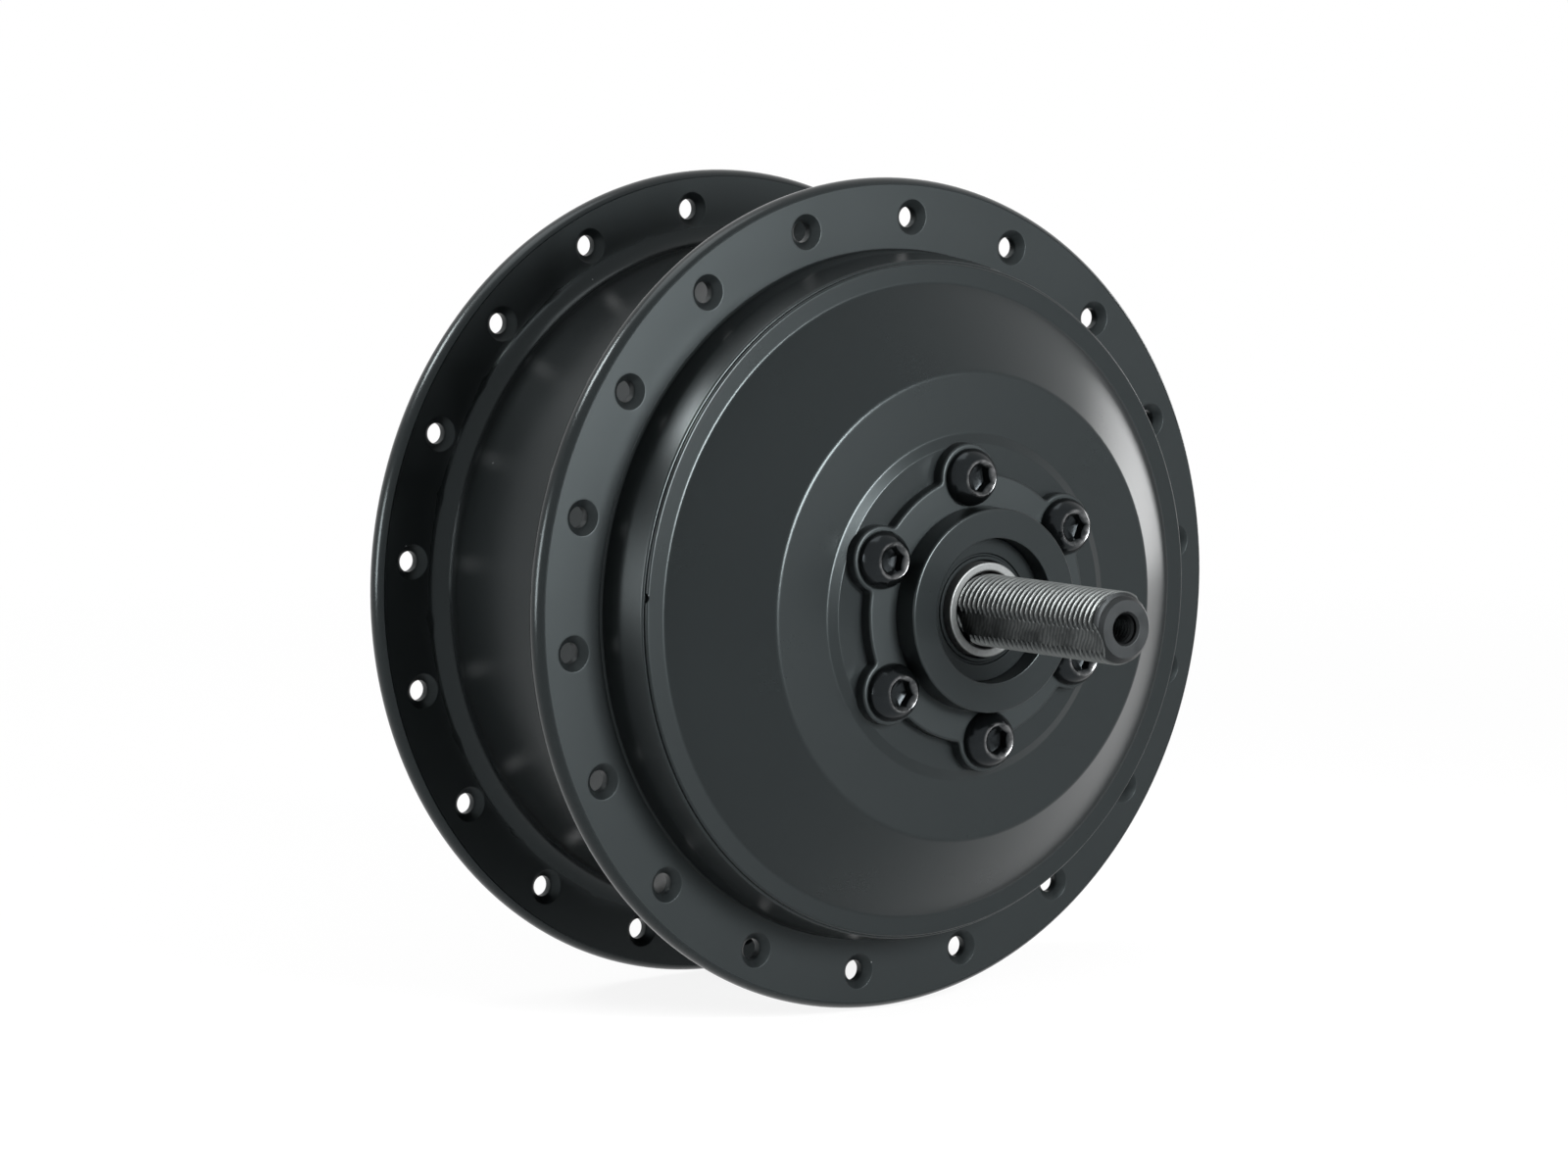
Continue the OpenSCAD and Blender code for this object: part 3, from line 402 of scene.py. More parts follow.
axle_steel.feed("Roughness", axle_steel.range(axle_cloud + plain * 0.2, 0.3, 0.8, 0.3, 0.5))
axle_steel.bump(scratched * 0.6 + axle_steel.noise(0.0004, 2) * 0.4, 0.00001, 0.5)

# The bright ring at the socket's mouth is partly wear from the key and partly a painted highlight.
SCREW_BLACK, WORN_AND_SHEEN_STEEL = (0.014, 0.0165, 0.018), (0.17, 0.173, 0.176)
screw_steel = Finish("black_screw_steel", SCREW_BLACK, Roughness=0.2, Metallic=0.9)
screw_cloud = screw_steel.noise(0.0012, 3)
wear_and_sheen = screw_steel.node("ShaderNodeAttribute", {"attribute_name": "wear_and_sheen"}, {}, "Fac")
rubbed_and_sheen = wear_and_sheen * screw_steel.range(screw_cloud, 0.35, 0.6, 0.15, 0.8)
screw_steel.feed("Base Color", screw_steel.blend(rubbed_and_sheen, SCREW_BLACK, WORN_AND_SHEEN_STEEL))
screw_steel.feed("Roughness", screw_steel.range(screw_cloud, 0.35, 0.7, 0.15, 0.24))
screw_steel.bump(screw_steel.noise(0.0014, 2), 0.00001, 0.3)
print("finishes:", axle_steel.material.name, screw_steel.material.name)

# %% [markdown]
# Inside the shell the pieces are bare metal, rubber, nylon and copper. Turned steel keeps faint rings from
# the lathe, a stack of laminations shows its sheets, and a coil shows the rows of its wire, with painted
# shade in the troughs between the rows. Each of these is a wave along one coordinate: the radius for rings
# and wire, the station for the sheets.


# %% Finishes of the inner pieces
def turned(name, colour, rough, ring=0.0004, depth=0.000004):
    """Bright metal with the fine rings of a lathe, a sine wave over the radius, and cloudy gloss."""
    finish = Finish(name, colour, Roughness=rough, Metallic=1.0)
    rings = (finish.radius() * (2 * np.pi / ring)).sin() * 0.5 + 0.5
    clouds = finish.noise(0.004, 3)
    finish.feed("Roughness", finish.range(clouds, 0.3, 0.7, rough - 0.06, rough + 0.08))
    finish.bump(rings * 0.6 + clouds * 0.4, depth, 0.6)
    return finish


def grainy(name, colour, rough, grain_size, depth, metallic=0.0, dark=0.8):
    """Cast, sintered or moulded surface: noise in the colour and in the relief."""
    finish = Finish(name, colour, Roughness=rough, Metallic=metallic)
    grains = finish.noise(grain_size, 3)
    shade = tuple(channel * dark for channel in colour)
    finish.feed("Base Color", finish.blend(finish.range(grains, 0.35, 0.65, 0, 1), shade, colour))
    finish.feed("Roughness", finish.range(grains, 0.3, 0.7, rough + 0.05, rough - 0.05))
    finish.bump(grains, depth, 0.7)
    return finish


bright_steel = turned("bright_steel", (0.55, 0.555, 0.56), 0.24)
gear_steel = turned("gear_steel", (0.36, 0.365, 0.375), 0.34, 0.0006)
sleeve_steel = grainy("matte_sleeve_steel", (0.14, 0.147, 0.147), 0.5, 0.0005, 0.00001, 0.9, 0.86)
magnet_nickel = turned("magnet_nickel", (0.62, 0.60, 0.55), 0.18, 0.002, 0.000002)
cast_aluminium = grainy("cast_aluminium", (0.60, 0.61, 0.62), 0.42, 0.0012, 0.00004, 1.0, 0.85)
bearing_bronze = grainy("bearing_bronze", (0.50, 0.31, 0.13), 0.4, 0.0005, 0.00001, 1.0, 0.7)
black_rubber = grainy("black_rubber", (0.005, 0.006, 0.0063), 0.45, 0.0006, 0.000006, 0.0, 0.8)
black_rubber.shader.inputs["Specular IOR Level"].default_value = 0.12
black_rubber.shader.inputs["Specular Tint"].default_value = COAT_TINT
white_nylon = grainy("white_nylon", (0.74, 0.72, 0.66), 0.46, 0.003, 0.00002, 0.0, 0.95)

SHEET, WIRE, TRACK, CHIP_Y = 0.0005, 0.0009, 0.003, 0.01795
lamination = Finish("lamination_steel", (0.26, 0.27, 0.29), Roughness=0.4, Metallic=0.9)
sheets = (lamination.axes()[1] * (2 * np.pi / SHEET)).sin() * 0.5 + 0.5
tint = lamination.noise(0.006, 3)
layers = sheets * 0.7 + tint * 0.3
lamination.feed("Base Color", lamination.blend(layers, (0.10, 0.10, 0.115), (0.34, 0.34, 0.36)))
lamination.bump(sheets, 0.00005, 0.7)

copper = Finish("copper_wire", (0.62, 0.24, 0.09), Roughness=0.24, Metallic=1.0, Coat_Weight=0.6)
# The darker copper in the troughs between the rows of wire is painted shade.
strands_and_shade = (copper.radius() * (2 * np.pi / WIRE)).sin() * 0.5 + 0.5
copper.feed("Base Color", copper.blend(strands_and_shade, (0.20, 0.06, 0.02), (0.68, 0.27, 0.10)))
copper.bump(strands_and_shade, 0.0003, 0.8)

board = Finish("circuit_board", (0.02, 0.12, 0.05), Roughness=0.3)
tracks = (board.radius() * (2 * np.pi / TRACK)).sin() > 0.8
chips = board.axes()[1] < CHIP_Y
lacquer = board.blend(tracks, (0.012, 0.085, 0.035), (0.03, 0.17, 0.07))
board.feed("Base Color", board.blend(chips, (0.015, 0.015, 0.016), lacquer))
print("inner finishes:", len(bpy.data.materials), "materials in all")

# %% [markdown]
# The motor shell is one turned casting: drum, two spoke flanges, a low wall that takes the cover, and a
# threaded nose for the freewheel. Cutting 36 holes with booleans would leave ragged triangles, so each
# flange face is a ring of equal sectors, and in each sector straight lines run from the rim of the hole
# to the sector's border. The rest of the shell is spun from profiles that end where the sectors begin.

# %% Sizes of the shell, in millimetres
SPOKES = 18
SECTOR = 360 / SPOKES
SPOKE_ORBIT = 63.9
ARC_STEPS, SIDE_STEPS = 12, 6
DISC_HOLES, GEAR_HOLES = 5, 15
SHELL_TURNS = around(SPOKES * ARC_STEPS, -DISC_HOLES)
FOOT_R, DRUM_R, DRUM_FILLET = 61.5, 57.5, 4.0
RIM_R, FACE_IN_R, BACK_IN_R = 68.8, 58.6, 60.0
LIP, SINK, HOLE = 3.25, 3.0, 1.75
print("one sector covers", SECTOR, "degrees")

# %% [markdown]
# Each of the two flanges carries 18 spoke holes, countersunk on both sides so that the bend of a spoke lies
# flat. One sector is worked out flat, between its own border and the circle of the hole, with the same
# number of points on both. Turned copies of it fill the ring, so no point is ever moved by hand.


# %% Flange faces with their spoke holes
def fillet_drop(radius):
    """How far the drum's fillet has fallen below the flange: q - root of q squared - (foot - r) squared."""
    inside = np.clip(FOOT_R - radius, 0, DRUM_FILLET)
    return DRUM_FILLET - np.sqrt(DRUM_FILLET**2 - inside**2)


def sector_border(inner_r):
    """The border of one sector as x, y: out along the outer arc, down one side, back, and up the other."""
    half = np.radians(SECTOR / 2)
    sweep = np.linspace(-half, half, ARC_STEPS + 1)
    side = np.linspace(RIM_R, inner_r, SIDE_STEPS + 1)[1:-1]
    outer, inner = np.full(ARC_STEPS + 1, RIM_R), np.full(ARC_STEPS + 1, inner_r)
    radius = np.concatenate([outer, side, inner, side[::-1]])
    turn = np.concatenate([sweep, np.full(len(side), half), sweep[::-1], np.full(len(side), -half)])
    return np.stack([radius * np.cos(turn), radius * np.sin(turn)], -1)


def hole_circle(radius):
    """Circle of one spoke hole with as many points as a sector's border, starting at -60 degrees."""
    count = 2 * (ARC_STEPS + SIDE_STEPS)
    turn = np.radians(-60) + np.arange(count) * 2 * np.pi / count
    return np.stack([SPOKE_ORBIT + radius * np.cos(turn), radius * np.sin(turn)], -1)


def turned_copies(flat, station, first_turn):
    """The same grid of x, y and station at every spoke hole."""
    flat = np.concatenate([flat, flat[:, :1]], 1)
    station = np.concatenate([station, station[:, :1]], 1)
    radius, turn = np.linalg.norm(flat, axis=-1), np.arctan2(flat[..., 1], flat[..., 0])
    starts = np.radians(first_turn + SECTOR * np.arange(SPOKES))[:, None, None]
    return laid(radius[None], station[None], turn[None] + starts)


def flange_face(face, side, inner_r, first_turn):
    """Flat ring with holes: border and hole circle joined by P = (1 - u) hole + u border."""
    u = np.array([0, 0.08, 0.25, 0.5, 0.75, 1])[:, None, None]
    flat = (1 - u) * hole_circle(LIP)[None] + u * sector_border(inner_r)[None]
    drop = fillet_drop(np.linalg.norm(flat, axis=-1)) if inner_r == BACK_IN_R else 0
    return turned_copies(flat, face + side * drop + 0 * flat[..., 0], first_turn)


def spoke_holes(face, back, first_turn):
    """Hole walls: a countersink, the bore and another countersink, spun about the hole's own middle."""
    into = np.sign(back - face)
    depth = SINK - HOLE
    line = rounded(
        [
            (LIP, face, 0),
            (SINK, face, 0.08),
            (HOLE, face + into * depth, 0.4),
            (HOLE, back - into * depth, 0.4),
            (SINK, back, 0.08),
            (LIP, back, 0),
        ],
        2,
        0,
    )
    flat = np.stack([hole_circle(radius) for radius in line[:, 0]])
    share = np.where(np.arange(len(line)) > len(line) / 2, (line[:, 0] - HOLE) / (LIP - HOLE), 0)
    drop = fillet_drop(np.linalg.norm(flat, axis=-1)) * share[:, None]
    return turned_copies(flat, line[:, 1:] + into * drop, first_turn)


print("a sector's border has", len(sector_border(FACE_IN_R)), "points")

# %% [markdown]
# A screw thread is a ridge that climbs one pitch in every turn. A ridge swept along a helix would need
# joining to the bar, so the thread is the bar's own skin: rows that climb with the helix keep the same
# place in the ridge all the way round, and at both ends they are held at the end's station.


# %% Threaded skin
TOOTH_PLACE = np.array([0.0, 0.0625, 0.125, 0.28, 0.4375, 0.5625, 0.6875, 0.84])
TOOTH_SHARE = np.array([1.0, 1.0, 1.0, 0.5, 0.0, 0.0, 0.0, 0.5])
NO_LIMIT = 99.0


def threaded(low, high, crest, depth, pitch, turns, fade_low, fade_high, limit):
    """Skin of a thread on rows that climb by one pitch a turn, s = k pitch + pitch t / 2 pi. Its radius is
    r = crest - depth (1 - ridge(phase) fade(s)), and never above limit(s, t)."""
    first, last = int(np.floor(low / pitch)) - 2, int(np.ceil(high / pitch)) + 1
    base = (np.arange(first, last)[:, None] + TOOTH_PLACE[None, :]).ravel() * pitch
    share = np.tile(TOOTH_SHARE, last - first)[:, None]
    climbing = base[:, None] + pitch * (turns[None, :] - turns[0]) / (2 * np.pi)
    station = np.clip(climbing, low, high)
    fade = np.clip((station - low) / fade_low, 0, 1) * np.clip((high - station) / fade_high, 0, 1)
    radius = crest - depth * (1 - share * fade)
    return laid(np.minimum(radius, limit(station, turns[None, :])), station, turns[None, :])


print("thread rows per turn:", len(TOOTH_PLACE))

# %% [markdown]
# The shell's profiles follow the real casting: the inside with the seat of the cover, the side wall towards
# the nose, both rims, and the drum with its fillets. A rim could be one round bead, but a cast flange has
# flat faces and a bowed edge, so the rim is an arc with narrow bevels. All of it becomes one closed piece.

# %% Motor shell
WALL_R, SHELL_END, FLANGE_R = 57.0, 36.8, 70.4
NOSE_R, NOSE_LOW, NOSE_HIGH, NOSE_STOP = 17.46, -43.0, -30.9, -30.5
DISC_FACE, DISC_BACK, GEAR_BACK, GEAR_FACE = 26.9, 22.9, -21.2, -25.2
NOSE_PITCH, NOSE_DEPTH = 1.058, 0.58
RIM_BOW, BEVEL_RISE, BEVEL_REACH = 2.6, 0.12, 0.17

inside_line = rounded(
    [
        (NOSE_R - NOSE_DEPTH, NOSE_LOW, 0),
        (16.46, -44, 0.2),
        (14, -44, 0.2),
        (14, -34.6, 0),
        (11.5, -34.6, 0),
        (11.5, -26.9, 0.5),
        (20.7, -26.9, 1),
        (48.5, -21.6, 2),
        (53, -18.6, 1),
        (53, 17.6, 0),
        (54, 17.6, 0),
        (54, 29.8, 0),
        (55, 29.8, 0),
        (55, SHELL_END, 0.2),
        (WALL_R, SHELL_END, 0.35),
        (58.05, 31.5, 8),
        (58.25, DISC_FACE + 0.45, 0.3),
        (58.5, DISC_FACE, 0.03),
        (FACE_IN_R, DISC_FACE, 0),
    ]
)
side_wall = rounded(
    [
        (FACE_IN_R, GEAR_FACE, 0),
        (58.0, GEAR_FACE, 4),
        (22.5, NOSE_STOP, 0.6),
        (NOSE_R - NOSE_DEPTH, NOSE_STOP, 0.2),
        (NOSE_R - NOSE_DEPTH, NOSE_HIGH, 0),
    ]
)


def rim_line(high, low):
    """Edge of a flange: an arc c + q (cos t, sin t) bowed outwards about its middle, with a narrow bevel
    where it meets each face."""
    middle, half = (high + low) / 2, (high - low) / 2
    bow = np.degrees(np.arcsin((half - BEVEL_RISE) / RIM_BOW))
    rim = arc((FLANGE_R - RIM_BOW, middle), RIM_BOW, bow, -bow, 12)
    bevel_r = rim[0, 0] - BEVEL_REACH
    return np.concatenate([[(RIM_R, high), (bevel_r, high)], rim, [(bevel_r, low), (RIM_R, low)]])


disc_rim = rim_line(DISC_FACE, DISC_BACK)
gear_rim = rim_line(GEAR_BACK, GEAR_FACE)
foot_turn = np.degrees(np.arccos((BACK_IN_R - FOOT_R) / DRUM_FILLET))
drum = np.concatenate(
    [
        arc((FOOT_R, DISC_BACK - DRUM_FILLET), DRUM_FILLET, foot_turn, 180, 8),
        [(DRUM_R, 18.6), (DRUM_R, 1), (DRUM_R, -16.9)],
        arc((FOOT_R, GEAR_BACK + DRUM_FILLET), DRUM_FILLET, 180, 360 - foot_turn, 8),
    ]
)
nose = threaded(
    NOSE_LOW, NOSE_HIGH, NOSE_R, NOSE_DEPTH, NOSE_PITCH, SHELL_TURNS, 1.0, 1.0, lambda s, t: NO_LIMIT
)
# The border rows of the thread lie at its root, where the plain parts begin
shell_grids = [spin(line, SHELL_TURNS) for line in (inside_line, side_wall, disc_rim, gear_rim, drum)]
shell_grids += [
    nose,
    flange_face(DISC_FACE, -1, FACE_IN_R, DISC_HOLES),
    flange_face(DISC_BACK, -1, BACK_IN_R, DISC_HOLES),
    flange_face(GEAR_BACK, 1, BACK_IN_R, GEAR_HOLES),
    flange_face(GEAR_FACE, 1, FACE_IN_R, GEAR_HOLES),
    spoke_holes(DISC_FACE, DISC_BACK, DISC_HOLES),
    spoke_holes(GEAR_FACE, GEAR_BACK, GEAR_HOLES),
]
piece("motor_shell", "hub", "hub_shell", shell_grids, powder.material)

# %% [markdown]
# The brake side cover is a flat cone with a rim, a plateau, a small step, a collar for the brake disc's
# middle and a seat with six lobes. The round parts are one profile spun round the axle. The lobed seat is
# not round, so it is a skin of its own: the seat's outline is moved inwards step by step to round its
# edge, and it is sunk a little into the pad below. The small notch in the rim is a ball pressed into the
# grid: points that lie within its radius are pushed out onto it.

# %% Brake side cover
NOTCH_TURN, NOTCH_R = 176, 0.95
LOBES, LOBE_TURN, LOBE_ORBIT, LOBE_R, SEAT_R, LOBE_FILLET = 6, 35, 22.0, 5.6, 22.4, 0.8
LOBE_TURNS = np.radians(LOBE_TURN + 360 / LOBES * np.arange(LOBES))
PAD, SEAT, COLLAR_R, COLLAR_TOP = 50.0, 52.2, 16.95, 56.8
SEAT_EDGE, FACE_STEP, SUNK, OUTLINE_START = 0.45, 0.15, 0.2, LOBE_TURN - 14.5
cover_line = rounded(
    [
        (54.95, 29.8, 0.2),
        (54.95, SHELL_END, 0),
        (56.6, SHELL_END, 0.04),
        (56.6, 37.5, 0.35),
        (53.2, 37.5, 0.8),
        (39, 49.2, 1.2),
        (28.9, 49.2, 0.9),
        (27.2, 50.0, 0.35),
        (COLLAR_R, PAD, 0.4),
        (COLLAR_R, COLLAR_TOP, 0.35),
        (12, COLLAR_TOP, 0.2),
        (12, 49.5, 0),
        (11.5, 49.5, 0),
        (11.5, 48.6, 0),
        (14, 48.6, 0),
        (14, 40.6, 0.2),
        (27.5, 40.6, 0.5),
        (28.5, 45.7, 1),
        (36.77, 46.5, 1),
        (50.97, 34.8, 1),
        (51.5, 29.8, 0.2),
    ]
)
near_notch = NOTCH_TURN + np.linspace(-1.6, 1.6, 17)
cover_degrees = np.concatenate([np.linspace(0, 360, 241), near_notch]).round(6)
cover_turns = np.radians(np.sort(np.unique(cover_degrees)))
cover_grid = spin(closed(cover_line), cover_turns)
notch = laid(WALL_R, SHELL_END + 0.1, np.radians(NOTCH_TURN))
away = cover_grid - notch
reach = np.linalg.norm(away, axis=-1, keepdims=True)
cover_grid = np.where(reach < NOTCH_R * MM, notch + away / reach * NOTCH_R * MM, cover_grid)


def seat_outline(inset):
    """Outline of the lobed seat moved inwards: arcs about the lobes, about the axle, and small hollow
    fillets between them whose middles lie outside both, at the distances of both radii plus their own."""
    lobe, ring, hollow = LOBE_R - inset, SEAT_R - inset, LOBE_FILLET + inset
    far = SEAT_R + LOBE_FILLET
    cosine = (far**2 + LOBE_ORBIT**2 - (LOBE_R + LOBE_FILLET) ** 2) / (2 * far * LOBE_ORBIT)
    gamma = np.degrees(np.arccos(cosine))
    middle = far * np.array([np.cos(np.radians(gamma)), np.sin(np.radians(gamma))])
    to_lobe = np.degrees(np.arctan2(-middle[1], LOBE_ORBIT - middle[0]))
    lobe_end = 180 + to_lobe
    step = 360 / LOBES
    head = arc((LOBE_ORBIT, 0), lobe, -lobe_end, lobe_end, 28)
    hollow_arc = arc(middle, hollow, to_lobe, gamma - 180, 6)
    ring_arc = arc((0, 0), ring, gamma, step - gamma, 8)
    back = hollow_arc[::-1] * (1, -1)
    turn = np.radians(step)
    spun = back @ np.array([[np.cos(turn), np.sin(turn)], [-np.sin(turn), np.cos(turn)]])
    sector = np.concatenate([head[:-1], hollow_arc[:-1], ring_arc[:-1], spun[:-1]])
    radius, angle = np.linalg.norm(sector, axis=1), np.arctan2(sector[:, 1], sector[:, 0])
    angle = (angle[None] + LOBE_TURNS[:, None]).ravel()
    radius = np.tile(radius, LOBES)
    return np.append(radius, radius[0]), np.append(angle, angle[0] + 2 * np.pi)


def lobed_seat(edge, low):
    """Rows of the seat's skin: up its side, round its edge with an inset of e (1 - cos t) at a height of
    e sin t, in over its face, and back below."""
    t = np.linspace(0, np.pi / 2, 6)
    insets, heights = edge * (1 - np.cos(t)), SEAT - edge + edge * np.sin(t)
    rows = [(seat_outline(0), low)] + [(seat_outline(i), h) for i, h in zip(insets, heights)]
    count = len(rows[0][0][0])
    outer_r, outer_turn = rows[-1][0]
    inner_turn = np.radians(OUTLINE_START) + np.linspace(0, 2 * np.pi, count)
    rows.append(((outer_r - FACE_STEP, outer_turn), SEAT))
    rows += [((np.full(count, COLLAR_R - SUNK), inner_turn), h) for h in (SEAT, low)]
    rows.append(rows[0])
    return np.stack([laid(radius, height, turn) for (radius, turn), height in rows])


cover_grids = [cover_grid, lobed_seat(SEAT_EDGE, PAD - SUNK)]
piece("brake_side_cover", "hub", "disc_side_cover", cover_grids, smooth_powder.material)

# %% [markdown]
# The six screws hold the brake disc. Their heads are low domes with a chamfered hexagon socket. A hexagon
# cut by a boolean would leave long slivers in the dome, so the socket is part of the same grid: where the
# chamfer's cone meets the six flat sides, the radius follows the hexagon and the height follows the cone.

# %% Disc screws
HEAD_R, HEAD_H, HEAD_FOOT, MOUTH_R, HEX, SOCKET = 4.8, 3.5, 0.7, 2.9, 4.0, 2.4
SHANK_R, SHANK_L = 2.45, 10.0
CONE_SLOPE, CONE_EDGE, DRILL_TIP = 0.8, 0.06, 0.5
SCREW_TWISTS = np.radians([8, 41, 17, 52, 29, 3])
WORN_AND_SHEEN_WIDTH, WORN_AND_SHEEN_DEPTH = 0.1, 1.2


def screw_skin(turns):
    """Rows from the screw's tip up the shank, over the dome and down into the socket, as r, height. The dome
    is part of a ball of radius q = root of R squared + l squared, whose middle lies l above the head's foot,
    and the hexagon is r = half its width over cos of the angle from the middle of a side."""
    dome_h = HEAD_H - HEAD_FOOT
    low = (dome_h**2 - HEAD_R**2 + MOUTH_R**2) / (2 * dome_h)
    dome_r = np.hypot(HEAD_R, low)
    start, end = np.degrees(np.arctan2(-low, HEAD_R)), np.degrees(np.arctan2(dome_h - low, MOUTH_R))
    tip = [(0, -SHANK_L, 0), (SHANK_R, -SHANK_L, 0.4), (SHANK_R, 0, 0)]
    shank = rounded(tip + [(HEAD_R, 0, 0.15), (HEAD_R, HEAD_FOOT, 0)])
    dome = arc((0, HEAD_FOOT + low), dome_r, start, end, 9)[1:]
    dome = np.concatenate([dome, [(MOUTH_R - 0.05, HEAD_H - 0.01)]])
    line = np.concatenate([shank, dome])
    hexagon = HEX / 2 / np.cos(np.mod(turns, np.pi / 3) - np.pi / 6)
    cone = HEAD_H - (MOUTH_R - hexagon) * CONE_SLOPE
    flat = np.ones_like(turns)
    radii = [r * flat for r in line[:, 0]] + [hexagon + CONE_EDGE, hexagon, hexagon, 0 * flat]
    bottom = (HEAD_H - SOCKET) * flat
    heights = [h * flat for h in line[:, 1]] + [cone + CONE_EDGE / 2, cone - CONE_EDGE, bottom]
    return np.stack(radii), np.stack(heights + [bottom - DRILL_TIP])


screw_turns = around(96)
radii, heights = screw_skin(screw_turns)
spun = screw_turns + SCREW_TWISTS[:, None, None]
flat_x = LOBE_ORBIT * np.cos(LOBE_TURNS)[:, None, None] + radii[None] * np.cos(spun)
flat_z = LOBE_ORBIT * np.sin(LOBE_TURNS)[:, None, None] + radii[None] * np.sin(spun)
screw_grids = [np.stack([flat_x, -(SEAT + heights)[None] + 0 * flat_x, flat_z], -1) * MM]
screws = piece("disc_side_screws", "hub", "disc_screws", screw_grids, screw_steel.material)

# %% [markdown]
# A key has rubbed the black off the mouth of each socket, and the bright ring there is also a painted
# highlight on the socket's edge. The ring could be drawn on a picture, but the place is known: a narrow ring
# of points round each screw's own middle, marked with 1 in an attribute that the steel reads.

# %% Wear and painted highlight round the sockets
points = np.empty(len(screws.data.vertices) * 3)
screws.data.vertices.foreach_get("co", points)
points = points.reshape(-1, 3) / MM
middles = LOBE_ORBIT * np.stack([np.cos(LOBE_TURNS), np.sin(LOBE_TURNS)], -1)
off_axis = np.linalg.norm(points[:, None, ::2] - middles[None], axis=-1).min(1)
in_ring = (off_axis < MOUTH_R + 0.01) & (off_axis > MOUTH_R - WORN_AND_SHEEN_WIDTH)
# These points carry the bright ring, which is partly key wear and partly a painted highlight.
worn_and_sheen = in_ring & (-points[:, 1] > SEAT + HEAD_H - WORN_AND_SHEEN_DEPTH)
screws.data.attributes.new("wear_and_sheen", "FLOAT", "POINT").data.foreach_set("value", worn_and_sheen.astype(float))
print("worn points:", int(worn_and_sheen.sum()), "of", len(worn_and_sheen))

# %% [markdown]
# The axle is one bar with a fine thread and two milled flats at each end. The flats cut the thread away
# where they pass below its root. In a grid that is one line of arithmetic: the skin's radius is the
# smaller of the thread's own and the distance to the flat, which grows as 1 / cos away from its middle.

# %% Axle
AXLE_R, FLAT, FLAT_TURN, AXLE_END = 6.0, 5.0, 22.0, 90.6
AXLE_PITCH, AXLE_DEPTH, CHAMFER = 1.25, 0.7, 1.3
DISC_THREAD, GEAR_THREAD, RUN_OUT = 53.4, -64.5, -66
BORE_R, GROOVE_R, GROOVE_STEP = 2.2, 2.45, 0.8
AXLE_TURNS = around(168)


def flat_limit(turn):
    """Distance to the nearer of the two flats along a ray: half the width across them over cos of the angle
    from the flat's middle."""
    return FLAT / np.maximum(np.abs(np.cos(turn - np.radians(FLAT_TURN))), 0.01)


def disc_end_limit(station, turn):
    """Flats that begin inside the sleeve, and the chamfer of the end."""
    flats = np.where(station > DISC_THREAD + 0.001, flat_limit(turn), NO_LIMIT)
    return np.minimum(flats, AXLE_R - CHAMFER + (AXLE_END - station))


def gear_end_limit(station, turn):
    """Flats with a sloped run-out beside the step, and the chamfer of the end."""
    flats = flat_limit(turn) + np.clip(station - RUN_OUT, 0, None)
    return np.minimum(flats, AXLE_R - CHAMFER + (AXLE_END + station))


ridge = AXLE_R, AXLE_DEPTH, AXLE_PITCH, AXLE_TURNS
disc_thread = threaded(DISC_THREAD, AXLE_END, *ridge, 1.0, 0.01, disc_end_limit)
gear_thread = threaded(-AXLE_END, GEAR_THREAD, *ridge, 0.01, 1.0, gear_end_limit)
ROOT = AXLE_R - AXLE_DEPTH
groove = (BORE_R, 0), (GROOVE_R, GROOVE_STEP / 2)
tapped = [(r, s + d, 0) for s in np.arange(81.2, 89.6, GROOVE_STEP) for r, d in groove]
disc_face = rounded(
    [(0, 79.0, 0), (BORE_R, 80.4, 0)]
    + tapped
    + [(GROOVE_R, AXLE_END - 0.4, 0.05), (2.8, AXLE_END, 0.06), (AXLE_R - CHAMFER, AXLE_END, 0)],
    2,
)
bar = rounded(
    [
        (ROOT, DISC_THREAD, 0),
        (ROOT, 50.0, 0),
        (AXLE_R, 49.5, 0),
        (AXLE_R, 6.3, 0),
        (8.0, 6.3, 0),
        (8.0, 4.8, 0),
        (10, 4.8, 0),
        (10, -14, 0),
        (12.5, -14, 0.3),
        (12.5, -18, 0.3),
        (9.5, -18, 0),
        (9.5, -34.6, 0),
        (7.5, -34.6, 0),
        (7.5, -64, 0.5),
        (ROOT, -64, 0.2),
        (ROOT, GEAR_THREAD, 0),
    ]
)
gear_face = rounded([(AXLE_R - CHAMFER, -AXLE_END, 0), (3.3, -AXLE_END, 0.2), (3.3, -20, 0), (0, -19, 0)])
axle_grids = [disc_thread, gear_thread] + [spin(line, AXLE_TURNS) for line in (disc_face, bar, gear_face)]
piece("main_axle", "fixed_axle", "axle", axle_grids, axle_steel.material)

# %% [markdown]
# Four small rings close the gap between the turning hub and the axle: the bright sleeve that the dropout
# bears on, the lipped rubber seals on both sides, and the grommet for the cable. All are turned or moulded
# round, so each is a profile with rounded corners, spun once more.


# %% Sleeve, seals and grommet
def ring_piece(name, body, node, corners, count, finish):
    """A closed profile of corners (r, s, rounding) spun round the axle."""
    piece(name, body, node, [spin(closed(rounded(corners)), around(count))], finish)


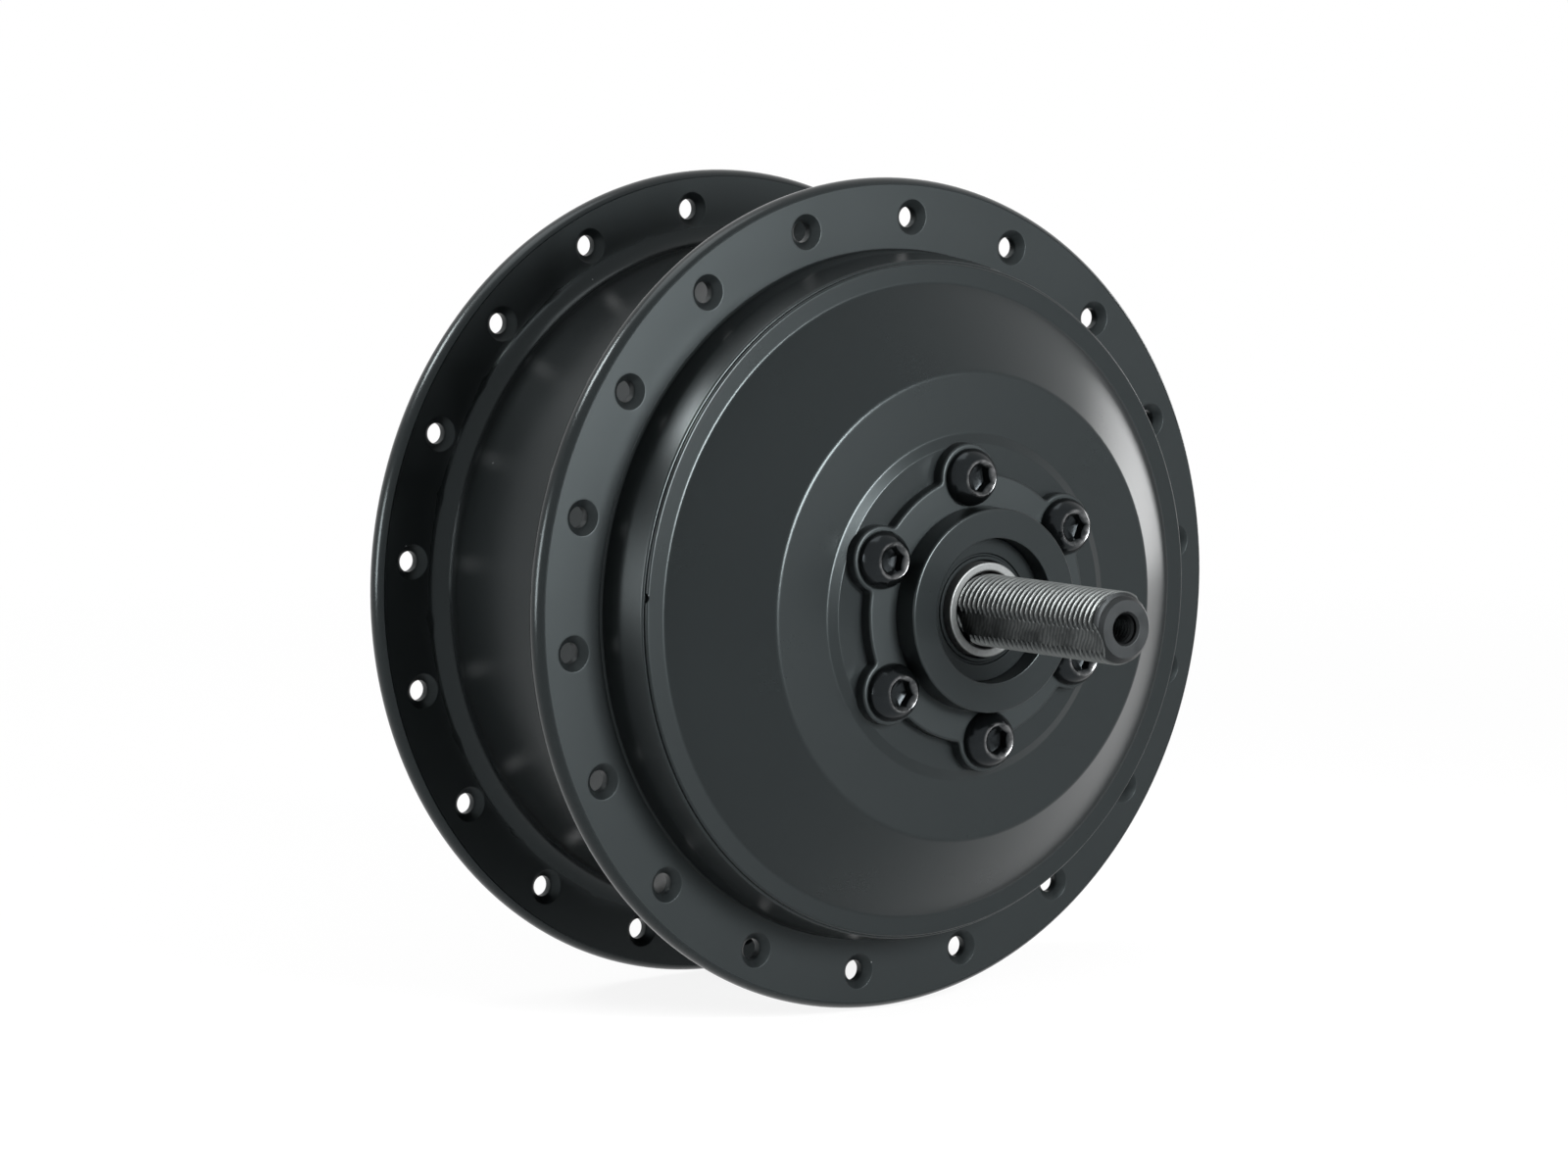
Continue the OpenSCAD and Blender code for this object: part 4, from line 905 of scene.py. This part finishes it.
ring_piece(
    "sleeve_ring",
    "fixed_axle",
    "spacer_sleeve",
    [(6.4, 48.6, 0), (7.9, 48.6, 0), (7.9, 54.9, 0.25), (6.4, 54.9, 0.3)],
    96,
    sleeve_steel.material,
)
ring_piece(
    "lip_seal",
    "hub",
    "disc_side_seal",
    [
        (12, 49.5, 0),
        (12, 53.4, 0.15),
        (9.3, 53.4, 0.08),
        (9.15, 53.05, 0.06),
        (8.9, 53.05, 0.06),
        (8.75, 53.4, 0.08),
        (8.2, 53.4, 0.12),
        (7.96, 52.6, 0.1),
        (7.96, 49.5, 0),
    ],
    120,
    black_rubber.material,
)
ring_piece(
    "nose_seal",
    "hub",
    "gear_side_seal",
    [
        (14, -41.6, 0),
        (14, -44, 0.2),
        (12.6, -44, 0.3),
        (12.2, -43.4, 0.3),
        (8.8, -43.4, 0.3),
        (8.4, -43.9, 0.15),
        (7.56, -43.7, 0.1),
        (7.56, -41.6, 0),
    ],
    120,
    black_rubber.material,
)
ring_piece(
    "cable_sleeve",
    "fixed_axle",
    "cable_grommet",
    [(2.3, -80.6, 0), (3.3, -80.6, 0), (3.3, -90.6, 0.15), (2.3, -90.6, 0.3)],
    64,
    black_rubber.material,
)

# %% [markdown]
# The pieces inside the shell have the right shape already. Nobody sees them until the model is taken
# apart, but then each should look like its own metal or plastic, so every node that is still on show gets
# the finish of its slot. Their meshes stay as they are.

# %% Finishes of the nodes that stay
slot_finishes = {
    "black_powder_coat": powder,
    "dark_axle_steel": axle_steel,
    "black_screw_steel": screw_steel,
    "bright_steel": bright_steel,
    "black_rubber": black_rubber,
    "cast_aluminium": cast_aluminium,
    "lamination_steel": lamination,
    "copper_wire": copper,
    "circuit_board": board,
    "white_nylon": white_nylon,
    "bearing_bronze": bearing_bronze,
    "gear_steel": gear_steel,
    "magnet_nickel": magnet_nickel,
}
node_slots = {part["node"]: part["material_slot"] for part in frame["record"]["subparts"]}
for name, node in frame["nodes"].items():
    for place in node.material_slots:
        place.material = slot_finishes[node_slots[name]].material
print("finished nodes:", len(node_slots))

# %% [markdown]
# The photograph was lit by large soft boxes and cut out on white. A floor in plain white with a faint
# shadow keeps the object standing on something. Turning up the lamps would whiten it too, but it would
# also bleach the black coat, so the white comes from what the camera's rays see, and the lamps stay low.

# %% Floor and white background
FLOOR, FLOOR_SIDE = cad_low.z - 0.0005, 6.0
SKY_LIGHT = 0.3
SHADE_REACH, WHITE_REACH, SHADE_SHARE = 0.25, 0.7, 0.88


def seen_white(tree, dim, white, share):
    """Mix of two shaders: white for a share of camera, mirror and glass rays, dim for all the others."""
    path = tree.nodes.new("ShaderNodeLightPath")
    rays = Wire(tree, path.outputs["Is Camera Ray"])
    for kind in ("Is Glossy Ray", "Is Transmission Ray"):
        rays = rays.largest(Wire(tree, path.outputs[kind]))
    mix = tree.nodes.new("ShaderNodeMixShader")
    tree.links.new((rays * share).socket, mix.inputs["Fac"])
    tree.links.new(dim, mix.inputs[1])
    tree.links.new(white, mix.inputs[2])
    return mix.outputs[0]


world = bpy.data.worlds.new("studio")
bpy.context.scene.world = world
world.use_nodes = True
sky = world.node_tree.nodes["Background"]
sky.inputs["Color"].default_value = (1, 1, 1, 1)
sky.inputs["Strength"].default_value = SKY_LIGHT
white = world.node_tree.nodes.new("ShaderNodeBackground")
white.inputs["Color"].default_value = (1, 1, 1, 1)
white.inputs["Strength"].default_value = 1.0
mixed = seen_white(world.node_tree, sky.outputs[0], white.outputs[0], 1.0)
world.node_tree.links.new(mixed, world.node_tree.nodes["World Output"].inputs["Surface"])
print("background: white to the eye, light", SKY_LIGHT)

# %% [markdown]
# The floor works the same way, but close to the motor a part of its own shading stays on show, so that the
# shadow is kept. Further out it fades to the plain white of the background.

# %% White floor with the shadow
floor_finish = Finish("floor", (0.95, 0.95, 0.95), Roughness=0.9, Specular_IOR_Level=0.1)
glow = floor_finish.tree.nodes.new("ShaderNodeEmission")
glow.inputs["Strength"].default_value = 1.0
floor_x, floor_y, _ = floor_finish.axes()
floor_reach = (floor_x * floor_x + floor_y * floor_y).root()
share = floor_finish.range(floor_reach, SHADE_REACH, WHITE_REACH, SHADE_SHARE, 1.0)
mixed = seen_white(floor_finish.tree, floor_finish.shader.outputs[0], glow.outputs[0], share)
floor_finish.tree.links.new(mixed, floor_finish.tree.nodes["Material Output"].inputs["Surface"])
floor_mesh = bpy.data.meshes.new("floor")
corners = [(x * FLOOR_SIDE, y * FLOOR_SIDE, FLOOR) for x, y in ((-1, -1), (1, -1), (1, 1), (-1, 1))]
floor_mesh.from_pydata(corners, [], [(0, 1, 2, 3)])
floor = bpy.data.objects.new("floor", floor_mesh)
bpy.context.scene.collection.objects.link(floor)
floor_mesh.materials.append(floor_finish.material)
print("floor at", round(FLOOR, 4))

# %% [markdown]
# Soft boxes are area lamps. A satin coat shows little but what it mirrors, so each box stands where one part
# of the motor mirrors it to the camera: one in front for the flat faces, a tall strip far in front for the
# rounded edges, one on the right for the streak down the cone, one on the left for the low wall, and one
# high on the left for the rims. The last hangs above and lights the floor. Sun lamps would make every edge
# too hard.


# %% Lamps
def soft_box(name, place, aim, size, power):
    """Rectangular lamp that faces a point."""
    lamp = bpy.data.lights.new(name, "AREA")
    lamp.shape = "RECTANGLE"
    lamp.size, lamp.size_y = size
    lamp.energy = power
    box = bpy.data.objects.new(name, lamp)
    bpy.context.scene.collection.objects.link(box)
    direction = Vector(aim) - Vector(place)
    box.rotation_euler = direction.to_track_quat("-Z", "Y").to_euler()
    box.location = place
    box.visible_camera = False


soft_box("near_box", (0.035, -0.36, 0.08), (-0.04, -0.03, 0.03), (0.13, 0.13), 2.9)
soft_box("edge_strip", (0.08, -0.9, 0.12), (0, 0, 0), (0.10, 0.9), 1.5)
soft_box("right_strip", (0.92, 0.30, -0.08), (0, -0.04, 0), (0.14, 0.7), 1.4)
soft_box("left_strip", (-0.9, 0.28, -0.03), (0, 0, 0), (0.2, 0.6), 7.6)
soft_box("rim_box", (-0.62, 0.46, 0.78), (0, 0, 0), (0.25, 0.25), 6.5)
soft_box("top_box", (-0.2, 0.35, 1.3), (0, 0, 0), (0.8, 0.8), 5)

# %% [markdown]
# The last cell keeps the plain view transform, so that a colour renders about as it is written.

# %% Close the scene
bpy.context.scene.view_settings.view_transform = "Standard"
